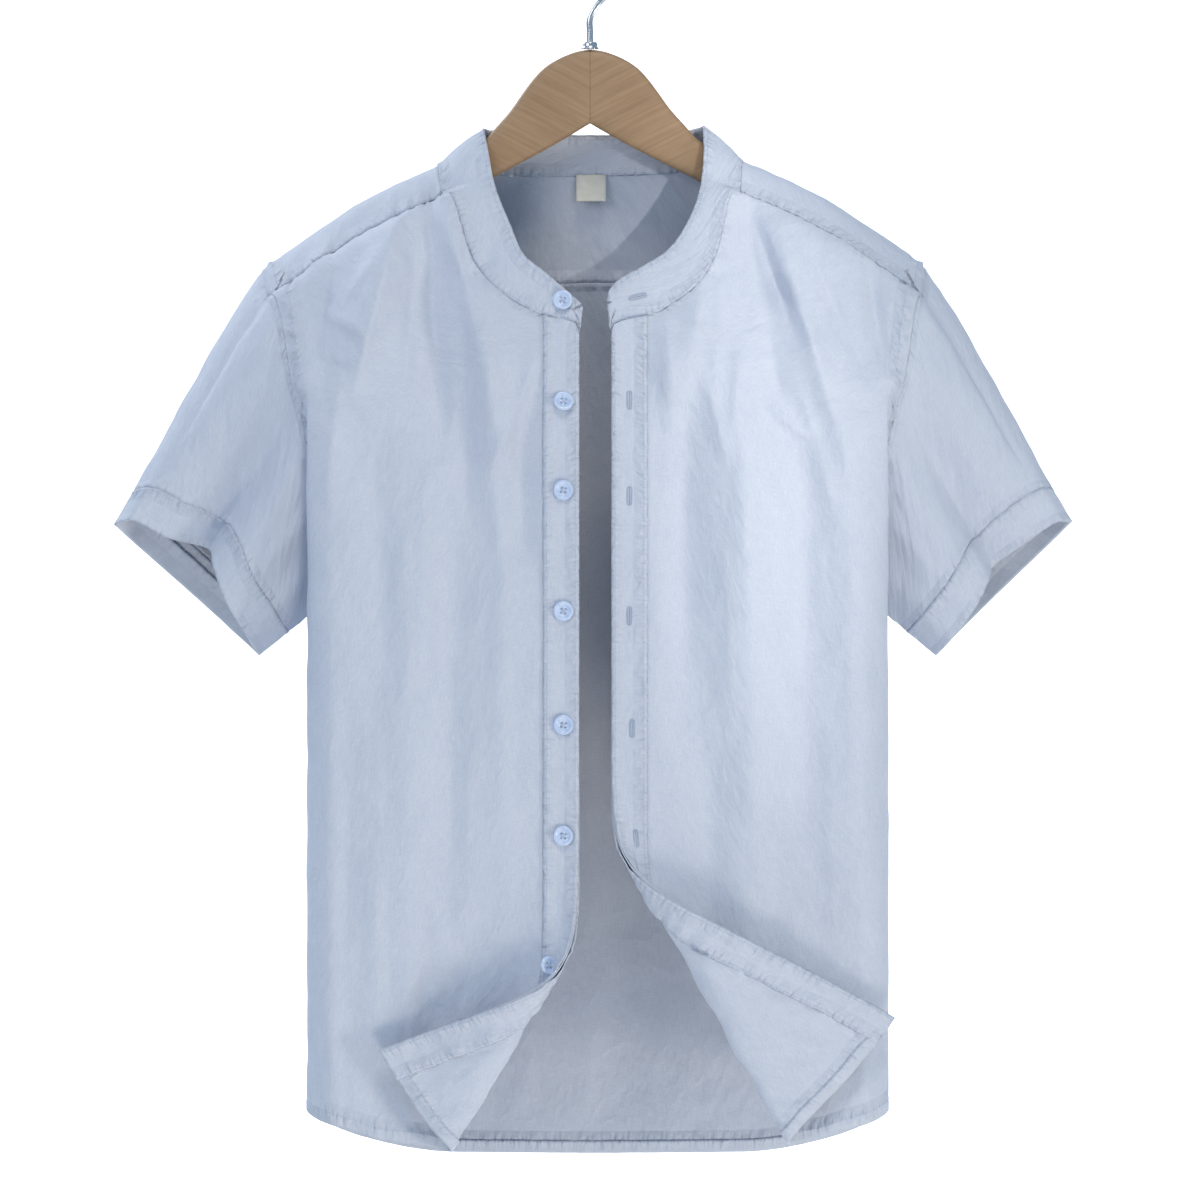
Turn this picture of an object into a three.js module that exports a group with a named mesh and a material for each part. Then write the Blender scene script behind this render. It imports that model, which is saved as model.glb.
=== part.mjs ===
// Short-sleeved shirt with a standing collar band, hung open on a wooden hanger.
// Millimetres, +Z up, the front towards -Y. The origin is the inside top of the hook's bend.
// Right and left are the wearer's: the right side lies at -X.
import * as THREE from 'three';

// Cloth
const wall = 1.2;
const bandWall = 1.5;
const layerGap = 0.3;
const seamInset = 0.24;
const armInset = 0.32;
const loopInset = 0.22;

// Front edges, plackets and collar
const rightEdgeX = -7.5;
const leftEdgeX = 15;
const placketWidth = 25;
const neckOut = 107;
const neckBackY = 28;
const neckBackDrop = 8.3;
const bandBackY = 21;
const bandBackZ = -136.8;
const yokeFrontDrop = 23.5;
const armholeTopOut = 233;

// Sleeves
const cuffWidth = 27;
const sleeveHead = 4;

// Turned-up front corners
const curlRadius = 11;
const curlPlaneY = -69;
const curlFollow = 0.7;

// Body lines: distance out from the centre line, by height
const centreShift = [
  { z: -870, shift: 5.4 },
  { z: -300, shift: 5.4 },
  { z: -236, shift: 3 },
  { z: -160, shift: 0 },
  { z: -60, shift: 0 },
];
const shoulderTilt = 0.0149;
const shoulderLine = [
  { out: 95, z: -150 },
  { out: 107, z: -157.2 },
  { out: 133, z: -168.9 },
  { out: 168, z: -186.7 },
  { out: 192, z: -202.7 },
  { out: 210, z: -214.8 },
  { out: 227.5, z: -227.3 },
  { out: 236, z: -236 },
];

// One row per level of a front panel, from the yoke seam down to the hem
const frontLevels = [
  { level: 0, innerOut: 104.5, innerY: -21, innerZ: -180.7, midY: -23, cornerY: -25,
    ridgeOut: 195, ridgeY: -27, outerOut: 229, outerY: -25, outerZ: -253 },
  { level: 1, innerOut: 97, innerY: -29, innerZ: -196, midY: -34, cornerY: -38,
    ridgeOut: 198, ridgeY: -38, outerOut: 223, outerY: -36, outerZ: -274 },
  { level: 2, innerOut: 88, innerY: -37, innerZ: -220, midY: -45, cornerY: -49,
    ridgeOut: 200.5, ridgeY: -49, outerOut: 216.5, outerY: -44, outerZ: -300 },
  { level: 3, innerOut: 70, innerY: -46, innerZ: -245.5, midY: -53, cornerY: -56,
    ridgeOut: 201.5, ridgeY: -55, outerOut: 209.5, outerY: -46, outerZ: -325 },
  { level: 4, innerOut: 44, innerY: -53, innerZ: -263.5, midY: -58, cornerY: -60,
    ridgeOut: 202, ridgeY: -55, outerOut: 203, outerY: -42, outerZ: -351 },
  { level: 5, innerOut: 13, innerY: -58, innerZ: -278.5, midY: -61, cornerY: -61,
    ridgeOut: 202.5, ridgeY: -50, outerOut: 195, outerY: -32, outerZ: -391 },
  { level: 6, innerOut: 12, innerY: -61, innerZ: -340, midY: -64, cornerY: -62,
    ridgeOut: 202.5, ridgeY: -45, outerOut: 187, outerY: -15, outerZ: -430 },
  { level: 7, innerOut: 12, innerY: -64, innerZ: -400, midY: -66, cornerY: -63,
    ridgeOut: 202.5, ridgeY: -41, outerOut: 182, outerY: 6, outerZ: -458 },
  { level: 8, innerOut: 12, innerY: -67, innerZ: -480, midY: -68, cornerY: -64,
    ridgeOut: 202.7, ridgeY: -40, outerOut: 186, outerY: 6, outerZ: -505 },
  { level: 9, innerOut: 12, innerY: -69, innerZ: -600, midY: -69, cornerY: -64,
    ridgeOut: 203, ridgeY: -38, outerOut: 193, outerY: 6, outerZ: -600 },
  { level: 10, innerOut: 12, innerY: -69, innerZ: -720, midY: -69, cornerY: -64,
    ridgeOut: 203, ridgeY: -38, outerOut: 196, outerY: 6, outerZ: -705 },
  { level: 11, innerOut: 12, innerY: -69, innerZ: -866, midY: -68, cornerY: -64,
    ridgeOut: 203, ridgeY: -36, outerOut: 197, outerY: 6, outerZ: -815 },
];
const frontHem = [
  { across: 0, z: -866 },
  { across: 0.22, z: -857 },
  { across: 0.46, z: -843 },
  { across: 0.57, z: -840 },
  { across: 0.67, z: -832.6 },
  { across: 0.75, z: -827 },
  { across: 0.8333, z: -820 },
  { across: 1, z: -815 },
];
const frontRowPlan = [
  { to: 5, cells: 8 },
  { to: 7, cells: 5 },
  { to: 9.3, cells: 7 },
  { to: 11, cells: 13 },
];
const frontCols = 24;
const placketCols = 3;
const cornerCol = 17;
const ridgeCol = 20;
const cornerReach = 20;

// One row per level of the back panel, from the yoke seam down to the hem
const backLevels = [
  { level: 0, centreY: 46, centreZ: -240, cornerOut: 165, cornerY: 37, ridgeOut: 203,
    ridgeY: 31, outerOut: 229, outerY: 26, outerZ: -260 },
  { level: 1, centreY: 52, centreZ: -275, cornerOut: 172, cornerY: 46, ridgeOut: 204,
    ridgeY: 42, outerOut: 221, outerY: 38, outerZ: -290 },
  { level: 2, centreY: 57, centreZ: -315, cornerOut: 178, cornerY: 53, ridgeOut: 204,
    ridgeY: 49, outerOut: 211, outerY: 43, outerZ: -325 },
  { level: 3, centreY: 61, centreZ: -360, cornerOut: 180, cornerY: 58, ridgeOut: 203,
    ridgeY: 51, outerOut: 200, outerY: 38, outerZ: -370 },
  { level: 4, centreY: 64, centreZ: -410, cornerOut: 181, cornerY: 60, ridgeOut: 202,
    ridgeY: 46, outerOut: 190, outerY: 23, outerZ: -420 },
  { level: 5, centreY: 66, centreZ: -458, cornerOut: 181, cornerY: 61, ridgeOut: 201.5,
    ridgeY: 40, outerOut: 182, outerY: 6, outerZ: -458 },
  { level: 6, centreY: 67, centreZ: -540, cornerOut: 181, cornerY: 62, ridgeOut: 201.5,
    ridgeY: 38, outerOut: 188.7, outerY: 6, outerZ: -535 },
  { level: 7, centreY: 67, centreZ: -680, cornerOut: 181, cornerY: 62, ridgeOut: 202,
    ridgeY: 38, outerOut: 195.2, outerY: 6, outerZ: -670 },
  { level: 8, centreY: 66, centreZ: -857, cornerOut: 181, cornerY: 60, ridgeOut: 202,
    ridgeY: 36, outerOut: 197, outerY: 6, outerZ: -815 },
];
const backHem = [
  { across: 0, z: -857 },
  { across: 0.35, z: -856 },
  { across: 0.62, z: -840 },
  { across: 0.8, z: -825 },
  { across: 1, z: -815 },
];
const backRowPlan = [
  { to: 5, cells: 9 },
  { to: 8, cells: 9 },
];
const backCols = 26;

// Collar band, top edge by share of the neckline from the front end to the shoulder
const bandTops = {
  right: [
    { share: 0, x: 4.6, y: -53, z: -259 },
    { share: 0.196, x: 28.7, y: -49, z: -238 },
    { share: 0.379, x: 47, y: -43, z: -222 },
    { share: 0.563, x: 56, y: -34, z: -201 },
    { share: 0.715, x: 63.5, y: -26, z: -183 },
    { share: 0.821, x: 68, y: -20, z: -168 },
    { share: 0.91, x: 71.4, y: -13, z: -149.4 },
    { share: 1, x: 75, y: 0, z: -132.3 },
  ],
  left: [
    { share: 0, x: 10.5, y: -53, z: -253 },
    { share: 0.07, x: 18, y: -52, z: -243 },
    { share: 0.196, x: 36.4, y: -49, z: -232 },
    { share: 0.379, x: 55, y: -43, z: -219.5 },
    { share: 0.563, x: 67.5, y: -34, z: -201.5 },
    { share: 0.715, x: 74.5, y: -26, z: -185 },
    { share: 0.821, x: 78, y: -20, z: -170 },
    { share: 0.91, x: 79.8, y: -13, z: -147 },
    { share: 1, x: 80, y: 0, z: -130.5 },
  ],
};
const bandRows = 3;
const neckCols = 12;
const yokeFrontRows = 3;
const yokeBackRows = 6;
const seamReach = 0.97;

// Sleeve hems: the tip lies at the end of the shoulder line, the foot under the arm
const sleeveEnds = {
  right: { tipX: -335.3, tipZ: -411.9, footX: -232.4, footZ: -503.6 },
  left: { tipX: 339.5, tipZ: -409.8, footX: 242.9, footZ: -503.6 },
};
// One row per station round the hem: share of the turn, way from tip to foot, depth, rise
const sleeveHems = {
  right: [
    { turn: 0, way: 0, y: 0, rise: 1 },
    { turn: 0.06, way: 0.06, y: -10, rise: 12 },
    { turn: 0.14, way: 0.25, y: -7, rise: 19 },
    { turn: 0.22, way: 0.45, y: 5, rise: 32 },
    { turn: 0.27, way: 0.51, y: -18, rise: 27 },
    { turn: 0.36, way: 0.7, y: -27, rise: 13 },
    { turn: 0.44, way: 0.89, y: -20, rise: 5 },
    { turn: 0.5, way: 1, y: 0, rise: 0 },
    { turn: 0.6, way: 0.85, y: 24, rise: 0 },
    { turn: 0.75, way: 0.52, y: 33, rise: 0 },
    { turn: 0.9, way: 0.16, y: 24, rise: 0 },
    { turn: 1, way: 0, y: 0, rise: 1 },
  ],
  left: [
    { turn: 0, way: 0, y: 0, rise: 1 },
    { turn: 0.06, way: 0.06, y: -9, rise: 8 },
    { turn: 0.14, way: 0.25, y: -7, rise: 13 },
    { turn: 0.22, way: 0.46, y: 4, rise: 17 },
    { turn: 0.27, way: 0.52, y: -17, rise: 13 },
    { turn: 0.36, way: 0.7, y: -25, rise: 5 },
    { turn: 0.44, way: 0.89, y: -19, rise: 1 },
    { turn: 0.5, way: 1, y: 0, rise: 0 },
    { turn: 0.6, way: 0.85, y: 23, rise: 0 },
    { turn: 0.75, way: 0.52, y: 31, rise: 0 },
    { turn: 0.9, way: 0.16, y: 23, rise: 0 },
    { turn: 1, way: 0, y: 0, rise: 1 },
  ],
};
const sleeveRows = 7;
const cuffRows = 3;

// Turned-up corners: a point on the line where the cloth starts to turn, and its direction
const curls = {
  right: { x: -73.7, z: -793.8, alongX: 0.5145, alongZ: 0.8575 },
  left: { x: 122.8, z: -795.4, alongX: -0.502, alongZ: 0.865 },
};

// Main folds: ends of each crest, how far it reaches sideways and how far it stands out
const frontFolds = {
  right: [
    { fromX: -129, fromZ: -191, toX: -162, toZ: -285, reach: 9, height: 3.5 },
    { fromX: -105, fromZ: -186, toX: -90, toZ: -240, reach: 8, height: 2.5 },
    { fromX: -113, fromZ: -192, toX: -104, toZ: -345, reach: 11, height: -4.5 },
    { fromX: -80, fromZ: -240, toX: -62, toZ: -350, reach: 10, height: 3 },
    { fromX: -48, fromZ: -300, toX: -44, toZ: -440, reach: 10, height: -3 },
    { fromX: -150, fromZ: -330, toX: -142, toZ: -560, reach: 14, height: -2.5 },
    { fromX: -128, fromZ: -400, toX: -126, toZ: -790, reach: 14, height: 2.5 },
    { fromX: -100, fromZ: -420, toX: -97, toZ: -740, reach: 12, height: -2.5 },
    { fromX: -62, fromZ: -430, toX: -60, toZ: -700, reach: 13, height: 2.5 },
    { fromX: -168, fromZ: -520, toX: -170, toZ: -800, reach: 13, height: -2 },
  ],
  left: [
    { fromX: 108, fromZ: -186, toX: 142, toZ: -275, reach: 10, height: -5 },
    { fromX: 130, fromZ: -202, toX: 182, toZ: -330, reach: 10, height: 4 },
    { fromX: 193, fromZ: -226, toX: 206, toZ: -300, reach: 9, height: -4 },
    { fromX: 104, fromZ: -188, toX: 98, toZ: -262, reach: 8, height: 2.5 },
    { fromX: 52, fromZ: -262, toX: 58, toZ: -350, reach: 9, height: 3 },
    { fromX: 66, fromZ: -330, toX: 64, toZ: -600, reach: 14, height: -3 },
    { fromX: 108, fromZ: -330, toX: 112, toZ: -720, reach: 18, height: 3 },
    { fromX: 150, fromZ: -360, toX: 152, toZ: -640, reach: 14, height: -2.5 },
    { fromX: 182, fromZ: -420, toX: 180, toZ: -760, reach: 12, height: 2 },
    { fromX: 86, fromZ: -560, toX: 84, toZ: -760, reach: 12, height: -2.5 },
  ],
};
const backFolds = [
  { fromX: -110, fromZ: -262, toX: -96, toZ: -500, reach: 16, height: 3 },
  { fromX: 112, fromZ: -258, toX: 100, toZ: -480, reach: 16, height: 3 },
  { fromX: -52, fromZ: -300, toX: -58, toZ: -800, reach: 20, height: -3 },
  { fromX: 40, fromZ: -290, toX: 52, toZ: -820, reach: 20, height: 3.5 },
  { fromX: 5, fromZ: -380, toX: -2, toZ: -830, reach: 18, height: -3 },
  { fromX: -140, fromZ: -420, toX: -136, toZ: -810, reach: 16, height: -3 },
  { fromX: 142, fromZ: -440, toX: 138, toZ: -800, reach: 16, height: -2.5 },
];
// Folds that run down a sleeve, by share of the turn round it
const sleeveFolds = [
  { turn: 0.12, spread: 0.035, height: 3 },
  { turn: 0.21, spread: 0.03, height: -3.5 },
  { turn: 0.31, spread: 0.04, height: 2.5 },
  { turn: 0.62, spread: 0.04, height: -2.5 },
  { turn: 0.74, spread: 0.045, height: 3 },
  { turn: 0.86, spread: 0.04, height: -2.5 },
];

// Buttons: six down the right placket, one on the band
const buttonRadius = 7;
const buttonThick = 2.2;
const buttonHoleRadius = 0.9;
const buttonHoleSpacing = 1.7;
const buttonColumn = 1.35;
const buttonHeights = [
  { z: -326.5, lift: 0 },
  { z: -388.1, lift: 0 },
  { z: -472.1, lift: 0 },
  { z: -551.2, lift: 0 },
  { z: -628.2, lift: 0 },
  { z: -719, lift: 3.6 },
];
const bandButtonShare = 0.13;
const bandButtonUp = 0.6;

// Hanger
const woodTop = [
  { out: 0, z: -78 }, { out: 5, z: -78.4 }, { out: 10, z: -79.4 }, { out: 17, z: -81.8 },
  { out: 25, z: -85.6 }, { out: 33, z: -91 }, { out: 40, z: -98.3 }, { out: 47.5, z: -108.2 },
  { out: 56, z: -120.2 }, { out: 65, z: -130.4 }, { out: 76, z: -142.2 }, { out: 90, z: -152 },
  { out: 107, z: -161.8 }, { out: 133, z: -172.4 }, { out: 168, z: -190 }, { out: 192, z: -206.2 },
  { out: 210, z: -218.4 }, { out: 222, z: -229 }, { out: 226, z: -235 },
];
const woodFoot = [
  { out: 0, z: -129.8 }, { out: 19, z: -141 }, { out: 46, z: -155.5 }, { out: 70, z: -168 },
  { out: 107, z: -189 }, { out: 133, z: -201 }, { out: 168, z: -216 }, { out: 192, z: -228 },
  { out: 210, z: -238 }, { out: 222, z: -244 }, { out: 226, z: -243 },
];
const woodHalf = 7;
const woodPower = 3.5;
const woodRing = 12;
const wireRadius = 2.4;
const hookRadius = 22.4;
const hookCentreZ = -20;
const stemFootZ = -77.6;
const ferruleRadius = 5.5;
const ferruleHeight = 5;

// Label
const labelSize = { width: 21, height: 19, thick: 0.8 };
const labelPlace = { x: 0.7, y: 24.6, topZ: -164.4 };

const colours = {
  cloth: 0xbccbe2,
  button: 0xc3d4ee,
  label: 0xe9e4d6,
  wood: 0xb8946a,
  metal: 0xc4c6c8,
};

const clamp = (value, low, high) => Math.min(high, Math.max(low, value));
const lerp = (a, b, t) => a + (b - a) * t;

function smooth(value) {
  const t = clamp(value, 0, 1);
  return t * t * (3 - 2 * t);
}

// Curve without overshoot through one column of a table, by another column
function column(rows, key, name) {
  const sorted = [...rows].sort((a, b) => a[key] - b[key]);
  const at = sorted.map((row) => row[key]);
  const value = sorted.map((row) => row[name]);
  const steps = at.slice(1).map((x, i) => (value[i + 1] - value[i]) / (x - at[i]));
  const slopes = at.map((x, i) => {
    if (i === 0) return steps[0];
    if (i === at.length - 1) return steps[i - 1];
    if (steps[i - 1] * steps[i] <= 0) return 0;
    return (2 * steps[i - 1] * steps[i]) / (steps[i - 1] + steps[i]);
  });
  return (place) => {
    const x = clamp(place, at[0], at[at.length - 1]);
    let i = 0;
    while (i < at.length - 2 && x > at[i + 1]) i += 1;
    const span = at[i + 1] - at[i];
    const t = (x - at[i]) / span;
    const a = (1 + 2 * t) * (1 - t) * (1 - t) * value[i];
    const b = t * (1 - t) * (1 - t) * span * slopes[i];
    const c = t * t * (3 - 2 * t) * value[i + 1];
    const d = t * t * (t - 1) * span * slopes[i + 1];
    return a + b + c + d;
  };
}

function columns(rows, key) {
  const curves = {};
  for (const name of Object.keys(rows[0])) {
    if (name !== key) curves[name] = column(rows, key, name);
  }
  return curves;
}

const shiftAt = column(centreShift, 'z', 'shift');
const shoulderAt = column(shoulderLine, 'out', 'z');
const ridgeZ = (x) => shoulderAt(Math.abs(x)) + shoulderTilt * x;
const frontAt = columns(frontLevels, 'level');
const frontHemAt = column(frontHem, 'across', 'z');
const backAt = columns(backLevels, 'level');
const backHemAt = column(backHem, 'across', 'z');

function foldHeight(folds, x, z) {
  let sum = 0;
  for (const fold of folds) {
    const runX = fold.toX - fold.fromX;
    const runZ = fold.toZ - fold.fromZ;
    const length = Math.hypot(runX, runZ);
    const along = ((x - fold.fromX) * runX + (z - fold.fromZ) * runZ) / length;
    const off = ((x - fold.fromX) * runZ - (z - fold.fromZ) * runX) / length;
    const t = along / length;
    if (t > 0 && t < 1) {
      const fade = Math.sin(Math.PI * t) ** 0.7;
      sum += fold.height * fade * Math.exp(-((off / fold.reach) ** 2));
    }
  }
  return sum;
}

const sides = {
  right: { sign: -1, edgeX: rightEdgeX },
  left: { sign: 1, edgeX: leftEdgeX },
};

// Outer face of a front panel before its corner is turned up
function frontPoint(sideName, level, across) {
  const side = sides[sideName];
  const row = {};
  for (const name of Object.keys(frontAt)) row[name] = frontAt[name](level);
  const shift = shiftAt(lerp(row.innerZ, row.outerZ, across));
  const edge = side.sign * (side.edgeX - shift);
  const inner = lerp(row.innerOut, edge, smooth(level - 4));
  const corner = row.ridgeOut - cornerReach;
  const placket = lerp(lerp(inner, corner, 0.16), edge + placketWidth, smooth((level - 3.7) / 0.65));
  const out = column(
    [
      { at: 0, out: inner },
      { at: placketCols / frontCols, out: placket },
      { at: 10 / frontCols, out: lerp(placket, corner, 0.5) },
      { at: cornerCol / frontCols, out: corner },
      { at: ridgeCol / frontCols, out: row.ridgeOut },
      { at: 1, out: row.outerOut },
    ],
    'at',
    'out',
  )(across);
  const onFlat = across < cornerCol / frontCols;
  const way = onFlat ? ((out - inner) / (corner - inner)) * (cornerCol / frontCols) : across;
  const straightZ = lerp(row.innerZ, row.outerZ, way);
  const hemBlend = smooth(level - 10);
  let z = straightZ + hemBlend * (frontHemAt(way) - lerp(-866, -815, way));
  const x = side.sign * out + shift;
  const seamBlend = 1 - smooth(level / 2.5);
  z += seamBlend * (ridgeZ(x) - yokeFrontDrop - straightZ);
  const depth = column(
    [
      { at: 0, y: row.innerY },
      { at: 0.36, y: row.midY },
      { at: cornerCol / frontCols, y: row.cornerY },
      { at: ridgeCol / frontCols, y: row.ridgeY },
      { at: 1, y: row.outerY },
    ],
    'at',
    'y',
  )(way);
  const inPanel = smooth(level / 0.8) * smooth((1 - across) / 0.12);
  const calm = smooth((level - 5) / 0.5) * (1 - smooth(across * frontCols - placketCols + 0.5));
  const fold = foldHeight(frontFolds[sideName], x, z) * inPanel * (1 - calm);
  return new THREE.Vector3(x, depth - fold, z);
}

// How far a front panel falls back from its middle, by distance out
const frontDepth = column(
  [
    { out: 0, y: 0 },
    { out: 130, y: 0 },
    { out: 183, y: 5 },
    { out: 203, y: 22 },
    { out: 230, y: 34 },
  ],
  'out',
  'y',
);

// Turns a point near a front corner up and over the panel's front
function turnUp(sideName, point) {
  const line = curls[sideName];
  const sign = sides[sideName].sign;
  const awayX = -sign * line.alongZ;
  const awayZ = sign * line.alongX;
  const past = (point.x - line.x) * awayX + (point.z - line.z) * awayZ;
  if (past <= 0) return point;
  const ring = curlRadius + (point.y - curlPlaneY);
  const half = Math.PI * curlRadius;
  const angle = Math.min(past, half) / curlRadius;
  let shift = ring * Math.sin(angle);
  if (past > half) shift = -(past - half);
  const move = shift - past;
  const x = point.x + awayX * move;
  const z = point.z + awayZ * move;
  const y = curlPlaneY - curlRadius + ring * Math.cos(angle);
  const follow = curlFollow * frontDepth(Math.abs(x - shiftAt(z))) * smooth((past - half) / 40);
  return new THREE.Vector3(x, y + follow, z);
}

// Outer face of the back panel; across runs from -1 at the right side seam to 1 at the left
function backPoint(level, across) {
  const row = {};
  for (const name of Object.keys(backAt)) row[name] = backAt[name](level);
  const share = Math.abs(across);
  const straightZ = lerp(row.centreZ, row.outerZ, share ** 1.5);
  const hemBlend = smooth(level - 7);
  const z = straightZ + hemBlend * (backHemAt(share) - lerp(-857, -815, share ** 1.5));
  const knots = [
    { at: 0, out: 0, y: row.centreY },
    { at: 0.31, out: row.cornerOut * 0.5, y: lerp(row.centreY, row.cornerY, 0.25) },
    { at: 0.62, out: row.cornerOut, y: row.cornerY },
    { at: 0.8, out: row.ridgeOut, y: row.ridgeY },
    { at: 1, out: row.outerOut, y: row.outerY },
  ];
  const out = column(knots, 'at', 'out')(share);
  const x = Math.sign(across) * out + shiftAt(z);
  const inPanel = smooth(level / 0.8) * smooth((1 - share) / 0.15);
  const y = column(knots, 'at', 'y')(share) + foldHeight(backFolds, x, z) * inPanel;
  return new THREE.Vector3(x, y, z);
}

// A sheet is a grid of points; on(row, col) says which cells are cloth
function makeSheet(rows, cols, ring, place) {
  const points = [];
  for (let j = 0; j < rows; j += 1) {
    for (let i = 0; i < cols; i += 1) points.push(place(j, i));
  }
  return { rows, cols, ring, points, on: () => true };
}

function cellsOf(sheet) {
  const cells = [];
  const last = sheet.ring ? sheet.cols : sheet.cols - 1;
  for (let j = 0; j < sheet.rows - 1; j += 1) {
    for (let i = 0; i < last; i += 1) {
      if (sheet.on(j, i)) {
        const next = (i + 1) % sheet.cols;
        const a = j * sheet.cols + i;
        const b = j * sheet.cols + next;
        cells.push([a, b, b + sheet.cols, a + sheet.cols]);
      }
    }
  }
  return cells;
}

// Works out the cells and the outward direction at each point
function finishSheet(sheet, inside) {
  sheet.cells = cellsOf(sheet);
  sheet.normals = sheet.points.map(() => new THREE.Vector3());
  sheet.used = new Set(sheet.cells.flat());
  let facing = 0;
  for (const cell of sheet.cells) {
    const [a, b, c, d] = cell.map((k) => sheet.points[k]);
    const normal = c.clone().sub(a).cross(d.clone().sub(b));
    const middle = a.clone().add(b).add(c).add(d).multiplyScalar(0.25);
    facing += normal.dot(middle.sub(inside));
    for (const k of cell) sheet.normals[k].add(normal);
  }
  sheet.flip = facing < 0;
  for (const normal of sheet.normals) normal.normalize().multiplyScalar(sheet.flip ? -1 : 1);
  return sheet;
}

function edgeRing(sheet) {
  const edges = new Map();
  for (const cell of sheet.cells) {
    for (let k = 0; k < 4; k += 1) {
      const from = cell[k];
      const to = cell[(k + 1) % 4];
      if (!edges.delete(`${to} ${from}`)) edges.set(`${from} ${to}`, [from, to]);
    }
  }
  return [...edges.values()];
}

// Gives pieces that meet at a seam one shared direction there, so that their walls stay apart.
// Deep creases are left as they are, because walls part there by themselves.
function shareSeams(sheets, nearest, alike) {
  const rims = sheets.map((sheet) => [...new Set(edgeRing(sheet).flat())]);
  const shared = sheets.map(() => new Map());
  sheets.forEach((sheet, s) => {
    for (const k of rims[s]) {
      const sum = sheet.normals[k].clone();
      sheets.forEach((other, o) => {
        if (o === s) return;
        let best = nearest;
        let normal = null;
        for (const m of rims[o]) {
          const gap = sheet.points[k].distanceTo(other.points[m]);
          if (gap < best && other.normals[m].dot(sheet.normals[k]) > alike) {
            best = gap;
            normal = other.normals[m];
          }
        }
        if (normal) sum.add(normal);
      });
      shared[s].set(k, sum.normalize());
    }
  });
  sheets.forEach((sheet, s) => {
    for (const [k, normal] of shared[s]) sheet.normals[k] = normal;
  });
}

// Closed wall between two distances from a sheet
function wallGeometry(sheet, outer, inner) {
  const index = new Map();
  const positions = [];
  const put = (k, layer) => {
    const key = `${k} ${layer}`;
    if (!index.has(key)) {
      const distance = layer ? inner : outer;
      const p = sheet.points[k].clone().addScaledVector(sheet.normals[k], distance);
      index.set(key, positions.length / 3);
      positions.push(p.x, p.y, p.z);
    }
    return index.get(key);
  };
  const faces = [];
  const add = (a, b, c) => faces.push(...(sheet.flip ? [a, c, b] : [a, b, c]));
  for (const [a, b, c, d] of sheet.cells) {
    add(put(a, 0), put(b, 0), put(c, 0));
    add(put(a, 0), put(c, 0), put(d, 0));
    add(put(a, 1), put(c, 1), put(b, 1));
    add(put(a, 1), put(d, 1), put(c, 1));
  }
  for (const [a, b] of edgeRing(sheet)) {
    add(put(a, 0), put(a, 1), put(b, 1));
    add(put(a, 0), put(b, 1), put(b, 0));
  }
  return geometryFrom(positions, faces);
}

function geometryFrom(positions, faces) {
  const geometry = new THREE.BufferGeometry();
  geometry.setAttribute('position', new THREE.Float32BufferAttribute(positions, 3));
  geometry.setIndex(faces);
  geometry.computeVertexNormals();
  return geometry;
}

// Draws an edge row or column of a sheet back from its seam
function drawBack(sheet, edge, distance) {
  const { rows, cols } = sheet;
  const pairs = [];
  if (edge === 'first' || edge === 'last') {
    const from = edge === 'first' ? 0 : rows - 1;
    const to = edge === 'first' ? 1 : rows - 2;
    for (let i = 0; i < cols; i += 1) pairs.push([from * cols + i, to * cols + i]);
  } else {
    const from = edge === 'start' ? 0 : cols - 1;
    const to = edge === 'start' ? 1 : cols - 2;
    for (let j = 0; j < rows; j += 1) pairs.push([j * cols + from, j * cols + to]);
  }
  const moved = pairs.map(([from, to]) => {
    const step = sheet.points[to].clone().sub(sheet.points[from]).setLength(distance);
    return sheet.points[from].clone().add(step);
  });
  pairs.forEach(([from], k) => {
    sheet.points[from] = moved[k];
  });
}

function levelsOf(plan) {
  const levels = [0];
  for (const { to, cells } of plan) {
    const from = levels[levels.length - 1];
    for (let k = 1; k <= cells; k += 1) levels.push(lerp(from, to, k / cells));
  }
  return levels;
}

const frontRows = levelsOf(frontRowPlan);
const backRows = levelsOf(backRowPlan);
const neckEndRow = frontRowPlan[0].cells;
const underarmRow = frontRowPlan[0].cells + frontRowPlan[1].cells;
const backUnderarmRow = backRowPlan[0].cells;

// Fronts
const fronts = {};
const frontSeams = {};
for (const name of Object.keys(sides)) {
  const flat = makeSheet(frontRows.length, frontCols + 1, false, (j, i) =>
    frontPoint(name, frontRows[j], i / frontCols),
  );
  frontSeams[name] = {
    top: Array.from({ length: frontCols + 1 }, (v, i) => flat.points[i].clone()),
    neck: Array.from({ length: neckEndRow + 1 }, (v, j) => flat.points[j * flat.cols].clone()),
    arm: Array.from({ length: underarmRow + 1 }, (v, j) => {
      return flat.points[j * flat.cols + frontCols].clone();
    }),
  };
  drawBack(flat, 'first', seamInset);
  drawBack(flat, 'end', armInset);
  for (let j = 0; j <= neckEndRow; j += 1) {
    const k = j * flat.cols;
    const step = flat.points[k + 1].clone().sub(flat.points[k]).setLength(seamInset);
    flat.points[k].add(step);
  }
  flat.points = flat.points.map((point) => turnUp(name, point));
  fronts[name] = flat;
}

// Back
const backAcross = (i) => (2 * i) / backCols - 1;
const back = makeSheet(backRows.length, backCols + 1, false, (j, i) =>
  backPoint(backRows[j], backAcross(i)),
);
const backArm = {};
for (const name of Object.keys(sides)) {
  const i = name === 'right' ? 0 : backCols;
  backArm[name] = Array.from({ length: backUnderarmRow + 1 }, (v, j) => {
    return back.points[j * back.cols + i].clone();
  });
}
drawBack(back, 'first', seamInset);
drawBack(back, 'start', seamInset);
drawBack(back, 'end', seamInset);

// Yoke: columns run from the right armhole over the neck to the left armhole
const shoulderCols = frontCols / 2;
const yokeCols = 2 * shoulderCols + neckCols + 1;
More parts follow.
